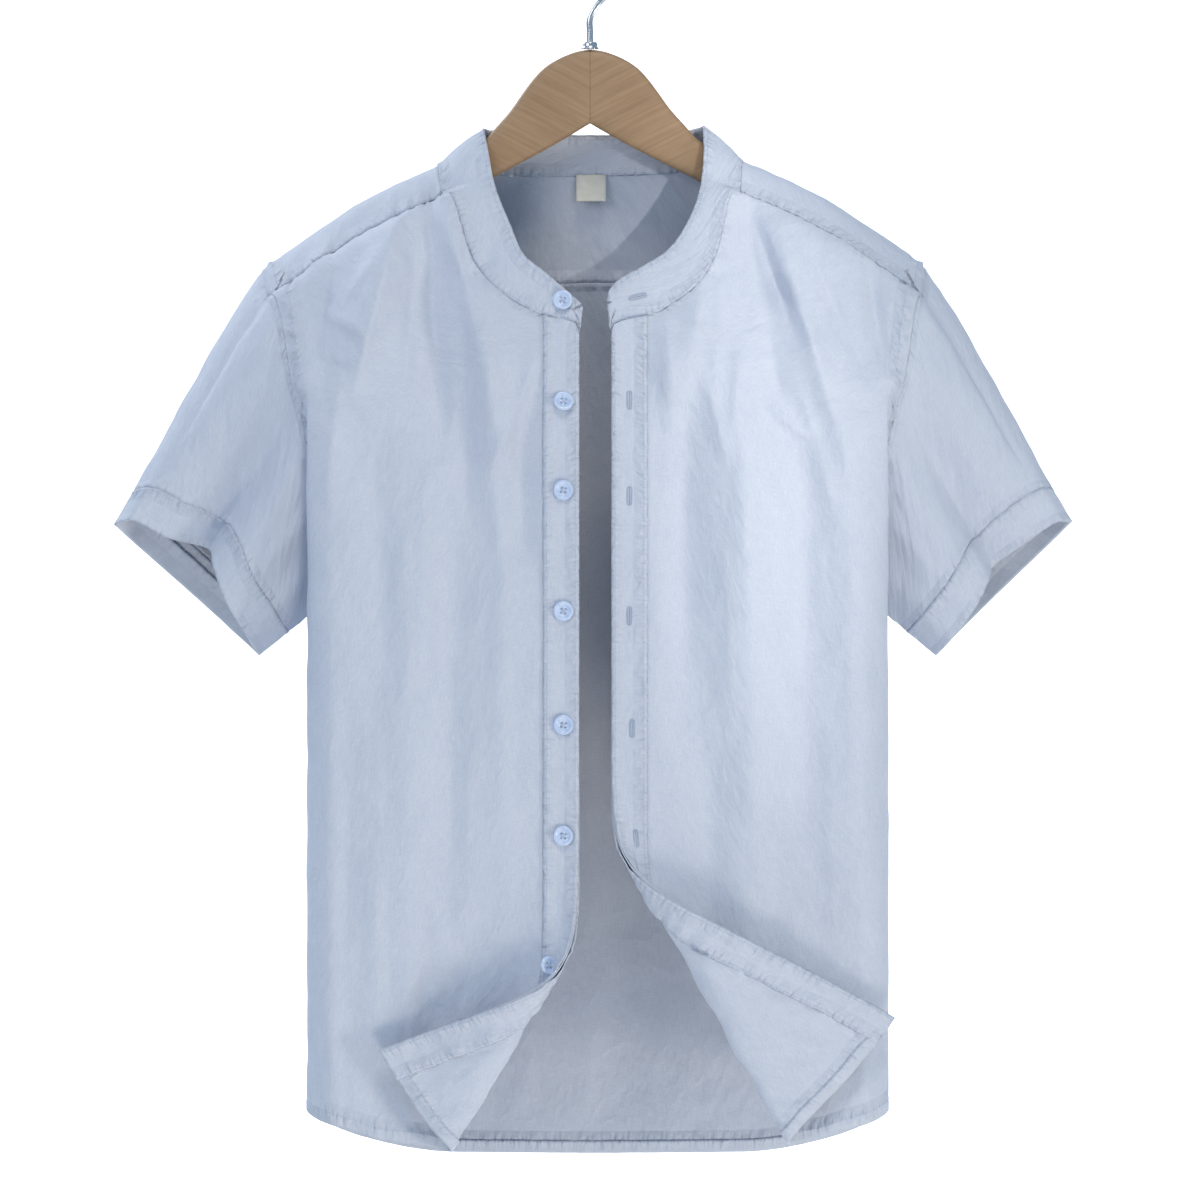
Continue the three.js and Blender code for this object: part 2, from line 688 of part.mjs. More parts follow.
// The back panel's seam point nearest to a distance out from the centre
function backSeamPoint(x) {
  let low = -1;
  let high = 1;
  for (let k = 0; k < 40; k += 1) {
    const middle = (low + high) / 2;
    if (backPoint(0, middle).x < x) low = middle;
    else high = middle;
  }
  return backPoint(0, (low + high) / 2);
}

function yokeColumn(i) {
  const inNeck = i > shoulderCols && i < shoulderCols + neckCols;
  const name = i < yokeCols / 2 ? 'right' : 'left';
  const sign = sides[name].sign;
  if (inNeck) {
    const angle = (Math.PI * (i - shoulderCols)) / neckCols;
    const rise = Math.sin(angle);
    const x = -neckOut * Math.cos(angle);
    const level = lerp(ridgeZ(-neckOut), ridgeZ(neckOut), (x / neckOut + 1) / 2);
    const top = new THREE.Vector3(x, neckBackY * rise, level - neckBackDrop * rise);
    return { front: null, top, end: backSeamPoint(x * seamReach), bend: 0.5 + 0.25 * rise };
  }
  const step = i <= shoulderCols ? 2 * i : 2 * (yokeCols - 1 - i);
  const front = frontSeams[name].top[frontCols - step];
  const share = step / frontCols;
  const x = sign * lerp(armholeTopOut, neckOut, share) + lerp(3, 0, share);
  const top = new THREE.Vector3(x, 0, ridgeZ(x));
  const endX = sign * lerp(backLevels[0].outerOut, neckOut * seamReach, share) + lerp(4, 0, share);
  const end = share === 0 ? backArm[name][0] : backSeamPoint(endX);
  return { front, top, end, bend: 0.5 };
}

const yokeColumns = Array.from({ length: yokeCols }, (v, i) => yokeColumn(i));
const yoke = makeSheet(yokeFrontRows + yokeBackRows + 1, yokeCols, false, (j, i) => {
  const { front, top, end, bend } = yokeColumns[i];
  if (j < yokeFrontRows) {
    if (!front) return top.clone();
    const t = 1 - j / yokeFrontRows;
    const z = lerp(top.z, front.z, t * t);
    return new THREE.Vector3(lerp(top.x, front.x, t * t), lerp(top.y, front.y, t), z);
  }
  const q = ((j - yokeFrontRows) / yokeBackRows) ** 1.7;
  const y = lerp(top.y, end.y, q ** bend);
  return new THREE.Vector3(lerp(top.x, end.x, q), y, lerp(top.z, end.z, q));
});
const inNeckCell = (i) => i >= shoulderCols && i < shoulderCols + neckCols;
yoke.on = (j, i) => j >= yokeFrontRows || !inNeckCell(i);
const yokeSide = (i) => Array.from({ length: yoke.rows }, (v, j) => {
  return yoke.points[j * yoke.cols + i].clone();
});
const yokeArm = { right: yokeSide(0), left: yokeSide(yokeCols - 1) };
const yokeNeck = [];
for (let j = 0; j < yokeFrontRows; j += 1) {
  yokeNeck.push(yoke.points[j * yoke.cols + shoulderCols].clone());
}
for (let i = shoulderCols; i <= shoulderCols + neckCols; i += 1) {
  yokeNeck.push(yoke.points[yokeFrontRows * yoke.cols + i].clone());
}
for (let j = yokeFrontRows - 1; j >= 0; j -= 1) {
  yokeNeck.push(yoke.points[j * yoke.cols + shoulderCols + neckCols].clone());
}

// Collar band: its foot follows the neckline from the right front end round to the left
const neckline = [
  ...[...frontSeams.right.neck].reverse(),
  ...yokeNeck.slice(1, -1),
  ...frontSeams.left.neck,
];
const necklineRun = [0];
for (let k = 1; k < neckline.length; k += 1) {
  necklineRun.push(necklineRun[k - 1] + neckline[k].distanceTo(neckline[k - 1]));
}
const rightTop = neckEndRow + yokeFrontRows;
const leftTop = rightTop + neckCols;
const bandTopAt = { right: columns(bandTops.right, 'share'), left: columns(bandTops.left, 'share') };

function bandTopPoint(k) {
  if (k > rightTop && k < leftTop) {
    const share = (necklineRun[k] - necklineRun[rightTop]) / (necklineRun[leftTop] - necklineRun[rightTop]);
    const angle = Math.PI * share;
    const ends = { right: bandTops.right[7], left: bandTops.left[8] };
    const half = lerp(ends.right.x, ends.left.x, share);
    const sideZ = lerp(ends.right.z, ends.left.z, share);
    const z = lerp(sideZ, bandBackZ, Math.sin(angle));
    return new THREE.Vector3(-half * Math.cos(angle), bandBackY * Math.sin(angle), z);
  }
  const name = k <= rightTop ? 'right' : 'left';
  const total = necklineRun[necklineRun.length - 1];
  const share = name === 'right'
    ? necklineRun[k] / necklineRun[rightTop]
    : (total - necklineRun[k]) / (total - necklineRun[leftTop]);
  const at = bandTopAt[name];
  const endX = name === 'right' ? -at.x(share) : at.x(share);
  return new THREE.Vector3(endX, at.y(share), at.z(share));
}

const band = makeSheet(bandRows + 1, neckline.length, false, (j, k) =>
  neckline[k].clone().lerp(bandTopPoint(k), j / bandRows),
);
drawBack(band, 'first', seamInset);

// Sleeves and cuffs: rings that start at the armhole and run to the hem
const sleeves = {};
const cuffs = {};
for (const name of Object.keys(sides)) {
  const ends = sleeveEnds[name];
  const sign = sides[name].sign;
  const hem = columns(sleeveHems[name], 'turn');
  const armhole = [
    ...yokeArm[name].slice(0, yokeFrontRows + 1).reverse(),
    ...frontSeams[name].arm.slice(1),
    ...backArm[name].slice(0, -1).reverse(),
    ...yokeArm[name].slice(yokeFrontRows + 1, -1).reverse(),
  ];
  const count = armhole.length;
  const underarm = yokeFrontRows + underarmRow;
  const run = [0];
  for (let k = 1; k <= count; k += 1) {
    run.push(run[k - 1] + armhole[k % count].distanceTo(armhole[k - 1]));
  }
  const turnAt = (k) => (k <= underarm
    ? (0.5 * run[k]) / run[underarm]
    : 0.5 + (0.5 * (run[k] - run[underarm])) / (run[count] - run[underarm]));
  const hemLength = Math.hypot(ends.footX - ends.tipX, ends.footZ - ends.tipZ);
  const upX = (-sign * Math.abs(ends.footZ - ends.tipZ)) / hemLength;
  const upZ = Math.abs(ends.footX - ends.tipX) / hemLength;
  const hemPoint = (k) => {
    const turn = turnAt(k);
    const way = hem.way(turn);
    const rise = hem.rise(turn);
    const x = lerp(ends.tipX, ends.footX, way) + upX * rise;
    const z = lerp(ends.tipZ, ends.footZ, way) + upZ * rise;
    return new THREE.Vector3(x, hem.y(turn), z);
  };
  const centre = new THREE.Vector3();
  for (const point of armhole) centre.addScaledVector(point, 1 / count);
  const hems = armhole.map((point, k) => hemPoint(k));
  const hemCentre = new THREE.Vector3();
  for (const point of hems) hemCentre.addScaledVector(point, 1 / count);
  const sleevePoint = (k, along) => {
    const point = armhole[k].clone().lerp(hems[k], along);
    const middle = centre.clone().lerp(hemCentre, along);
    const out = point.clone().sub(middle).normalize();
    const turn = turnAt(k);
    let lift = 0;
    for (const fold of sleeveFolds) {
      lift += fold.height * Math.exp(-(((turn - fold.turn) / fold.spread) ** 2));
    }
    lift *= Math.sin(Math.PI * clamp(along, 0, 1)) * (1 - 0.4 * along);
    const crown = Math.max(0, Math.cos(2 * Math.PI * turn)) ** 2;
    lift += sleeveHead * crown * 4 * along * (1 - along) ** 3 * 2;
    return point.addScaledVector(out, lift);
  };
  const cuffStart = armhole.map((point, k) => 1 - cuffWidth / point.distanceTo(hems[k]));
  sleeves[name] = makeSheet(sleeveRows + 1, count, true, (j, k) =>
    sleevePoint(k, (cuffStart[k] * j) / sleeveRows),
  );
  cuffs[name] = makeSheet(cuffRows + 1, count, true, (j, k) =>
    sleevePoint(k, lerp(cuffStart[k], 1, j / cuffRows)),
  );
  drawBack(sleeves[name], 'first', seamInset);
  drawBack(sleeves[name], 'last', loopInset);
  drawBack(cuffs[name], 'first', loopInset);
  const sleeveInside = centre.clone().lerp(hemCentre, 0.5);
  finishSheet(sleeves[name], sleeveInside);
  finishSheet(cuffs[name], hemCentre);
}

// Small draw-backs of the yoke, after its neighbours took its edges
for (let i = 0; i < yoke.cols; i += 1) {
  const inner = i > shoulderCols && i < shoulderCols + neckCols;
  const from = (inner ? yokeFrontRows : 0) * yoke.cols + i;
  const step = yoke.points[from + yoke.cols].clone().sub(yoke.points[from]).setLength(seamInset);
  yoke.points[from].add(step);
}
drawBack(yoke, 'last', seamInset);
drawBack(yoke, 'start', seamInset);
drawBack(yoke, 'end', seamInset);
for (const [i, next] of [[shoulderCols, -1], [shoulderCols + neckCols, 1]]) {
  for (let j = 0; j <= yokeFrontRows; j += 1) {
    const k = j * yoke.cols + i;
    const step = yoke.points[k + next].clone().sub(yoke.points[k]).setLength(seamInset);
    yoke.points[k].add(step);
  }
}

finishSheet(fronts.right, new THREE.Vector3(-100, 400, -500));
finishSheet(fronts.left, new THREE.Vector3(100, 400, -500));
finishSheet(back, new THREE.Vector3(0, -400, -500));
finishSheet(yoke, new THREE.Vector3(0, 0, -500));
finishSheet(band, new THREE.Vector3(0, 0, -170));
shareSeams(
  [fronts.right, fronts.left, back, yoke, band, sleeves.right, sleeves.left, cuffs.right, cuffs.left],
  2.5,
  0.2,
);

const group = new THREE.Group();
group.name = 'mandarin_collar_shirt';

function addPiece(name, geometry, colour, roughness, metalness) {
  const material = new THREE.MeshStandardMaterial({ color: colour, roughness, metalness });
  material.name = name;
  const mesh = new THREE.Mesh(geometry, material);
  mesh.name = name;
  group.add(mesh);
}

function addCloth(name, sheet, outer, inner) {
  addPiece(name, wallGeometry(sheet, outer, inner), colours.cloth, 0.9, 0);
}

addCloth('right_front', fronts.right, 0, -wall);
addCloth('left_front', fronts.left, 0, -wall);
addCloth('back', back, 0, -wall);
addCloth('yoke', yoke, 0, -wall);
addCloth('collar_band', band, 0, -bandWall);
addCloth('right_sleeve', sleeves.right, 0, -wall);
addCloth('left_sleeve', sleeves.left, 0, -wall);
addCloth('right_cuff', cuffs.right, 0, -wall);
addCloth('left_cuff', cuffs.left, 0, -wall);

// Plackets lie on the fronts' outer faces
const placketStart = neckEndRow - 1;
for (const name of Object.keys(sides)) {
  const front = fronts[name];
  const strip = {
    rows: frontRows.length - placketStart,
    cols: placketCols + 1,
    ring: false,
    on: () => true,
    flip: front.flip,
    points: [],
    normals: [],
  };
  for (let j = placketStart; j < front.rows; j += 1) {
    for (let i = 0; i <= placketCols; i += 1) {
      strip.points.push(front.points[j * front.cols + i].clone());
      strip.normals.push(front.normals[j * front.cols + i].clone());
    }
  }
  strip.cells = cellsOf(strip);
  addCloth(`${name}_placket`, strip, layerGap + wall, layerGap);
}

// Buttons with four holes
function buttonGeometry() {
  const rim = Array.from({ length: 18 }, (v, k) => new THREE.Vector2(
    buttonRadius * Math.cos((k * Math.PI) / 9),
    buttonRadius * Math.sin((k * Math.PI) / 9),
  ));
  const shape = new THREE.Shape(rim);
  for (const turn of [0, 1, 2, 3]) {
    const angle = Math.PI * (0.25 + 0.5 * turn);
    const hole = new THREE.Path();
    const holeX = buttonHoleSpacing * Math.cos(angle);
    const holeY = buttonHoleSpacing * Math.sin(angle);
    const corners = [0, 1, 2, 3, 4].map((k) => new THREE.Vector2(
      holeX + buttonHoleRadius * Math.cos(-0.4 * k * Math.PI),
      holeY + buttonHoleRadius * Math.sin(-0.4 * k * Math.PI),
    ));
    hole.setFromPoints(corners);
    hole.closePath();
    shape.holes.push(hole);
  }
  const options = { depth: buttonThick, bevelEnabled: false, curveSegments: 18 };
  return new THREE.ExtrudeGeometry(shape, options);
}

function addButton(name, foot, normal, lift) {
  const geometry = buttonGeometry();
  const turn = new THREE.Quaternion();
  turn.setFromUnitVectors(new THREE.Vector3(0, 0, 1), normal.clone().normalize());
  geometry.applyQuaternion(turn);
  const at = foot.clone().addScaledVector(normal, lift);
  geometry.translate(at.x, at.y, at.z);
  addPiece(name, geometry, colours.button, 0.3, 0);
}

// Point and outward direction on a sheet, between its grid points
function onSheet(sheet, row, col) {
  const j = Math.min(Math.floor(row), sheet.rows - 2);
  const i = Math.min(Math.floor(col), sheet.cols - 2);
  const mix = (list) => {
    const pick = (r, c) => list[(j + r) * sheet.cols + i + c].clone();
    const near = pick(0, 0).lerp(pick(0, 1), col - i);
    const far = pick(1, 0).lerp(pick(1, 1), col - i);
    return near.lerp(far, row - j);
  };
  return { point: mix(sheet.points), normal: mix(sheet.normals).normalize() };
}

const bandButtonCol = bandButtonShare * neckEndRow;
const onBand = onSheet(band, bandButtonUp * bandRows, bandButtonCol);
addButton('button_1', onBand.point, onBand.normal, layerGap + 0.25);
buttonHeights.forEach(({ z, lift }, k) => {
  let level = 5;
  while (frontPoint('right', level, 0).z > z) level += 0.005;
  let row = placketStart;
  while (frontRows[row + 1] < level) row += 1;
  const part = (level - frontRows[row]) / (frontRows[row + 1] - frontRows[row]);
  const spot = onSheet(fronts.right, row + part, buttonColumn);
  addButton(`button_${k + 2}`, spot.point, spot.normal, wall + 2 * layerGap + 0.15 + lift);
});

// Blank label at the back neck seam
const label = new THREE.BoxGeometry(labelSize.width, labelSize.thick, labelSize.height);
label.translate(labelPlace.x, labelPlace.y, labelPlace.topZ - labelSize.height / 2);
addPiece('size_label', label, colours.label, 0.85, 0);

// Solid through a row of rings, closed at both ends
function ringsGeometry(rings) {
  const count = rings[0].length;
  const positions = rings.flat().flatMap((p) => [p.x, p.y, p.z]);
  const faces = [];
  for (let j = 0; j < rings.length - 1; j += 1) {
    for (let i = 0; i < count; i += 1) {
      const a = j * count + i;
      const b = j * count + ((i + 1) % count);
      faces.push(a, b, b + count, a, b + count, a + count);
    }
  }
  for (const [j, outward] of [[0, true], [rings.length - 1, false]]) {
    const middle = rings[j].reduce((sum, p) => sum.add(p), new THREE.Vector3()).divideScalar(count);
    const hub = positions.length / 3;
    positions.push(middle.x, middle.y, middle.z);
    for (let i = 0; i < count; i += 1) {
      const a = j * count + i;
      const b = j * count + ((i + 1) % count);
      faces.push(...(outward ? [hub, b, a] : [hub, a, b]));
    }
  }
  return geometryFrom(positions, faces);
}

// Wooden bar: upright rounded sections from the right end to the left end
const topAt = column(woodTop, 'out', 'z');
const footAt = column(woodFoot, 'out', 'z');
const stations = [0, 6, 12, 18, 25, 33, 40, 48, 57, 68, 85, 107, 133, 160, 185, 205, 217, 223, 226];
const woodX = [...stations.slice(1).reverse().map((x) => -x), ...stations];
const woodRings = woodX.map((x) => {
  const out = Math.abs(x);
  const tip = out > 222 ? 0.62 : 1;
  const high = topAt(out) + shoulderTilt * x;
  const low = footAt(out) + shoulderTilt * x;
  const half = ((high - low) / 2) * (out > 225 ? 0.8 : 1);
  return Array.from({ length: woodRing }, (v, i) => {
    const angle = (2 * Math.PI * i) / woodRing;
    const round = (value) => Math.sign(value) * Math.abs(value) ** (2 / woodPower);
    const y = woodHalf * tip * round(Math.cos(angle));
    return new THREE.Vector3(x, y, (high + low) / 2 + half * round(Math.sin(angle)));
  });
});
addPiece('hanger_wood', ringsGeometry(woodRings), colours.wood, 0.55, 0);

// Wire hook and the ferrule at its foot
const hookPath = new THREE.CatmullRomCurve3(
  [
    new THREE.Vector3(0, 0, stemFootZ),
    new THREE.Vector3(0, 0, -66),
    new THREE.Vector3(0, 0, -56),
    new THREE.Vector3(5, 0, -46.5),
    ...[-45, -20, 5, 30, 55, 80, 105, 130, 155, 180, 205].map((degrees) => {
      const angle = (degrees * Math.PI) / 180;
      const x = hookRadius * Math.cos(angle);
      return new THREE.Vector3(x, 0, hookCentreZ + hookRadius * Math.sin(angle));
    }),
  ],
  false,
  'centripetal',
);
const wireSides = 10;
const wireSteps = 36;
const wireRings = Array.from({ length: wireSteps + 1 }, (v, k) => {
  const at = hookPath.getPointAt(k / wireSteps);
  const along = hookPath.getTangentAt(k / wireSteps);
  const side = new THREE.Vector3(0, 1, 0);
  const up = along.clone().cross(side).normalize();
  const radius = k === wireSteps ? wireRadius * 0.7 : wireRadius;
  return Array.from({ length: wireSides }, (w, i) => {
    const angle = (2 * Math.PI * i) / wireSides;
    return at.clone()
      .addScaledVector(up, radius * Math.cos(angle))
      .addScaledVector(side, -radius * Math.sin(angle));
  });
});
addPiece('hanger_hook', ringsGeometry(wireRings), colours.metal, 0.2, 1);

const collarRadius = wireRadius + layerGap;
const ferruleProfile = [
  new THREE.Vector2(collarRadius, 0),
  new THREE.Vector2(ferruleRadius + 1, 0),
  new THREE.Vector2(ferruleRadius + 1, 1),
  new THREE.Vector2(ferruleRadius, 1.6),
  new THREE.Vector2(ferruleRadius, ferruleHeight - 0.6),
  new THREE.Vector2(ferruleRadius - 0.6, ferruleHeight),
  new THREE.Vector2(collarRadius, ferruleHeight),
  new THREE.Vector2(collarRadius, 0),
];
const ferrule = new THREE.LatheGeometry(ferruleProfile, 16);
ferrule.rotateX(Math.PI / 2);
ferrule.translate(0, 0, stemFootZ);
addPiece('hook_ferrule', ferrule, colours.metal, 0.25, 1);

export default group;
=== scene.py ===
import math

import bpy
import numpy as np
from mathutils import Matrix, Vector


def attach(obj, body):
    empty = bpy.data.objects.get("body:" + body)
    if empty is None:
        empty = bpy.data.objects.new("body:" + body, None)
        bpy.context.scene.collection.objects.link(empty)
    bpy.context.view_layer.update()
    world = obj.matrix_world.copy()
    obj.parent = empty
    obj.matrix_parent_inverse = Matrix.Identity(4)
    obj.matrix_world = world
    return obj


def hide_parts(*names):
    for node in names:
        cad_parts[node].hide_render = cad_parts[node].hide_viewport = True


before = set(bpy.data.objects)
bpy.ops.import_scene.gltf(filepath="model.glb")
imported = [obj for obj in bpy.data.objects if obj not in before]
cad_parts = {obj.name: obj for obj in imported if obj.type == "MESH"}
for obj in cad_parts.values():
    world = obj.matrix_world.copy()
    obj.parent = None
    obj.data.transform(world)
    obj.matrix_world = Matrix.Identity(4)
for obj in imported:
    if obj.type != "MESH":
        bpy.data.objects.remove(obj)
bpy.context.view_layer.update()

# Short-sleeved linen shirt with a standing collar band, hung open on a wooden hanger.
# Shapes are worked out in millimetres and turned into metres when a mesh is made.
# Right and left are the wearer's: the right side lies at -X.
mm = 0.001


# ---- camera: straight on, far enough away that the shirt shows flat
def newObject(name, data, place=(0, 0, 0)):
    obj = bpy.data.objects.new(name, data)
    obj.location = place
    bpy.context.scene.collection.objects.link(obj)
    return obj


view = dict(x=7.0, z=-464.4, distance=6000.0, plane=-20.0, field=840.0, sensor=36.0)
cameraData = bpy.data.cameras.new("camera")
cameraData.sensor_width = view["sensor"]
cameraData.lens = view["sensor"] * view["distance"] / view["field"]
cameraData.clip_end = 60
camera = newObject("camera", cameraData, (view["x"] * mm, (view["plane"] - view["distance"]) * mm, view["z"] * mm))
camera.rotation_euler = (math.radians(90), 0, 0)
bpy.context.scene.camera = camera
print("camera in place")


# ---- small helpers
def lerp(a, b, t):
    return a + (b - a) * t


def smooth(value):
    t = np.clip(value, 0, 1)
    return t * t * (3 - 2 * t)


def curve(at, values):
    # curve without overshoot; the values may be numbers or arrays that go with the places
    at = np.asarray(at, float)
    values = np.broadcast_arrays(*[np.asarray(v, float) for v in values])
    values = np.stack(values)
    steps = np.diff(values, axis=0) / np.diff(at).reshape((-1,) + (1,) * (values.ndim - 1))
    slopes = np.empty_like(values)
    slopes[0], slopes[-1] = steps[0], steps[-1]
    before, after = steps[:-1], steps[1:]
    total = np.where(before + after == 0, 1, before + after)
    slopes[1:-1] = np.where(before * after > 0, 2 * before * after / total, 0)

    def place(x):
        x = np.clip(np.asarray(x, float), at[0], at[-1])
        i = np.clip(np.searchsorted(at, x, side="right") - 1, 0, len(at) - 2)
        span = at[i + 1] - at[i]
        t = (x - at[i]) / span
        pick = (lambda rows, k: rows[k]) if values.ndim == 1 else (
            lambda rows, k: np.take_along_axis(rows, k[None], axis=0)[0])
        low, high, m, n = pick(values, i), pick(values, i + 1), pick(slopes, i), pick(slopes, i + 1)
        return (
            (1 + 2 * t) * (1 - t) ** 2 * low
            + t * (1 - t) ** 2 * span * m
            + t * t * (3 - 2 * t) * high
            + t * t * (t - 1) * span * n
        )

    return place


def curves(table, key):
    return {name: curve(table[key], table[name]) for name in table if name != key}


def stack(x, y, z):
    return np.stack(np.broadcast_arrays(x, y, z), axis=-1).astype(float)


def unit(v):
    return v / np.maximum(np.linalg.norm(v, axis=-1, keepdims=True), 1e-9)


def runOf(points):
    # length walked along a row of points
    steps = np.linalg.norm(np.diff(points, axis=0), axis=-1)
    return np.concatenate([[0], np.cumsum(steps)])


def wobble(x, seed, spots=512):
    # soft random wave, about one swing for each unit of x
    lattice = np.random.default_rng(seed).uniform(-1, 1, spots)
    i = np.floor(x).astype(int)
    return lerp(lattice[i % spots], lattice[(i + 1) % spots], smooth(x - i))


def ripple(x, y, seed, spots=64):
    # soft random surface, about one swing for each unit of x and y
    lattice = np.random.default_rng(seed).uniform(-1, 1, (spots, spots))
    i, j = np.floor(x).astype(int), np.floor(y).astype(int)
    near, far = [
        lerp(lattice[i % spots, k % spots], lattice[(i + 1) % spots, k % spots], smooth(x - i)) for k in (j, j + 1)]
    return lerp(near, far, smooth(y - j))


def foldHeight(folds, x, z):
    # each fold: ends of its crest, how far it reaches sideways, how far it stands out
    total = np.zeros(np.broadcast(x, z).shape)
    for fromX, fromZ, toX, toZ, reach, height in folds:
        runX, runZ = toX - fromX, toZ - fromZ
        length = math.hypot(runX, runZ)
        t = ((x - fromX) * runX + (z - fromZ) * runZ) / length / length
        off = ((x - fromX) * runZ - (z - fromZ) * runX) / length
        fade = np.sin(np.pi * np.clip(t, 0, 1)) ** 0.7
        total += height * fade * np.exp(-(np.abs(off / reach) ** 1.5))
    return total


# ---- body shape, shared by all the cloth
body = dict(
    rightEdgeX=-7.5, leftEdgeX=15.0, placketWidth=25.0, neckOut=107.0, neckBackY=28.0,
    neckBackDrop=8.3, bandBackY=21.0, bandBackZ=-136.8, yokeFrontDrop=23.5,
    armholeTopOut=233.0, shoulderTilt=0.0149, seamReach=0.97,
)
shiftAt = curve([-870, -300, -236, -160, -60], [5.4, 5.4, 3, 0, 0])
shoulderAt = curve(
    [95, 107, 133, 168, 192, 210, 227.5, 236],
    [-150, -157.2, -168.9, -186.7, -202.7, -214.8, -227.3, -236],
)


def ridgeZ(x):
    return shoulderAt(np.abs(x)) + body["shoulderTilt"] * x


# one entry for each level of a front, from the yoke seam down to the hem
frontLevels = dict(
    level=range(12),
    innerOut=[104.5, 97, 88, 70, 44, 13, 12, 12, 12, 12, 12, 12],
    innerY=[-21, -29, -37, -46, -53, -58, -61, -64, -67, -69, -69, -69],
    innerZ=[-180.7, -196, -220, -245.5, -263.5, -278.5, -340, -400, -480, -600, -720, -866],
    midY=[-23, -34, -45, -53, -58, -61, -64, -66, -68, -69, -69, -68],
    cornerY=[-25, -38, -49, -56, -60, -61, -62, -63, -64, -64, -64, -64],
    ridgeOut=[195, 198, 200.5, 201.5, 202, 202.5, 202.5, 202.5, 202.7, 203, 203, 203],
    ridgeY=[-27, -38, -49, -55, -55, -50, -45, -41, -40, -38, -38, -36],
    outerOut=[229, 223, 216.5, 209.5, 203, 195, 187, 182, 186, 193, 196, 197],
    outerY=[-25, -36, -44, -46, -42, -32, -15, 6, 6, 6, 6, 6],
    outerZ=[-253, -274, -300, -325, -351, -391, -430, -458, -505, -600, -705, -815],
)
frontAt = curves(frontLevels, "level")
frontHemAt = curve(
    [0, 0.22, 0.46, 0.57, 0.67, 0.75, 0.8333, 1],
    [-866, -857, -843, -840, -832.6, -827, -820, -815],
)
frontMarks = dict(placket=3 / 24, half=10 / 24, corner=17 / 24, ridge=20 / 24, reach=20.0)
sides = dict(
    right=dict(sign=-1, edgeX=body["rightEdgeX"], yokeEdge=0.0, folds=2.5),
    left=dict(sign=1, edgeX=body["leftEdgeX"], yokeEdge=36.0, folds=2.2),
)
# what each side's creases and puckers start their random draws from
seeds = dict(
    right=dict(frontCreases=11, front=101, sleeveCreases=81, sleeve=211, cuff=231, placket=251),
    left=dict(frontCreases=23, front=131, sleeveCreases=91, sleeve=221, cuff=241, placket=261),
)

# main folds first, then the small creases between them
frontFolds = dict(
    right=[
        (-131, -186, -166, -330, 12, 5), (-105, -186, -90, -240, 8, 2.5),
        (-113, -184, -104, -370, 12, -5), (-80, -236, -60, -380, 12, 4),
        (-48, -300, -44, -440, 10, -3), (-150, -330, -142, -560, 14, -2.5),
        (-128, -400, -126, -790, 14, 2.5), (-100, -420, -97, -740, 12, -2.5),
        (-62, -430, -60, -700, 13, 2.5), (-168, -520, -170, -800, 13, -2),
        (-96, -200, -76, -300, 5, 1.6), (-122, -205, -128, -330, 5, -1.5),
        (-142, -215, -176, -262, 5, 1.4), (-178, -232, -190, -290, 6, -1.6),
        (-88, -262, -84, -420, 7, -1.5), (-70, -350, -58, -470, 6, 1.2),
        (-172, -290, -184, -400, 8, 1.5), (-112, -360, -118, -520, 7, 1.2),
        (-52, -500, -48, -640, 7, -1.2), (-82, -520, -88, -700, 8, 1.3),
        (-146, -600, -152, -800, 8, 1.4), (-116, -640, -110, -800, 7, -1.3),
        (-134, -200, -176, -300, 22, 4), (-88, -300, -96, -640, 26, -3.5),
        (-184, -262, -150, -284, 6, 2.2), (-36, -290, -66, -372, 5, 1.8),
    ],
    left=[
        (108, -180, 146, -290, 11, -6), (128, -196, 182, -380, 13, 5),
        (193, -220, 206, -310, 10, -4), (86, -200, 62, -330, 14, 4),
        (52, -262, 58, -350, 9, 3), (66, -330, 64, -600, 14, -3),
        (108, -330, 112, -720, 18, 3), (150, -360, 152, -640, 14, -2.5),
        (182, -420, 180, -760, 12, 2), (86, -560, 84, -760, 12, -2.5),
        (118, -192, 160, -300, 5, 1.8), (150, -212, 196, -318, 6, -1.8),
        (92, -222, 86, -330, 6, 1.4), (120, -262, 134, -330, 6, -1.6),
        (78, -300, 96, -372, 6, 1.6), (106, -278, 98, -352, 5, 1.2),
        (140, -300, 176, -420, 7, 1.6), (126, -420, 140, -560, 8, -1.4),
        (94, -430, 100, -560, 7, 1.2), (166, -540, 170, -700, 8, 1.3),
        (132, -600, 128, -780, 8, -1.4), (48, -400, 46, -560, 6, 1.1),
        (96, -236, 126, -690, 34, 4.5), (64, -300, 84, -720, 20, -3),
        (146, -300, 150, -640, 18, -2), (176, -260, 188, -700, 16, 2.2),
        (128, -236, 140, -262, 6, -3), (124, -330, 152, -352, 4, 1.6),
    ],
)
backFolds = [
    (-110, -262, -96, -500, 16, 3), (112, -258, 100, -480, 16, 3),
    (-52, -300, -58, -800, 20, -3), (40, -290, 52, -820, 20, 3.5),
    (5, -380, -2, -830, 18, -3), (-140, -420, -136, -810, 16, -3),
    (142, -440, 138, -800, 16, -2.5), (-80, -252, -60, -330, 8, -1.8),
    (76, -250, 66, -340, 8, -1.6), (-150, -270, -128, -400, 9, 1.6),
    (150, -268, 132, -390, 9, -1.8), (-24, -300, -30, -520, 9, 1.4),
    (20, -480, 28, -700, 9, -1.4), (-92, -560, -98, -800, 10, 1.8),
    (84, -600, 92, -820, 10, 1.7),
]


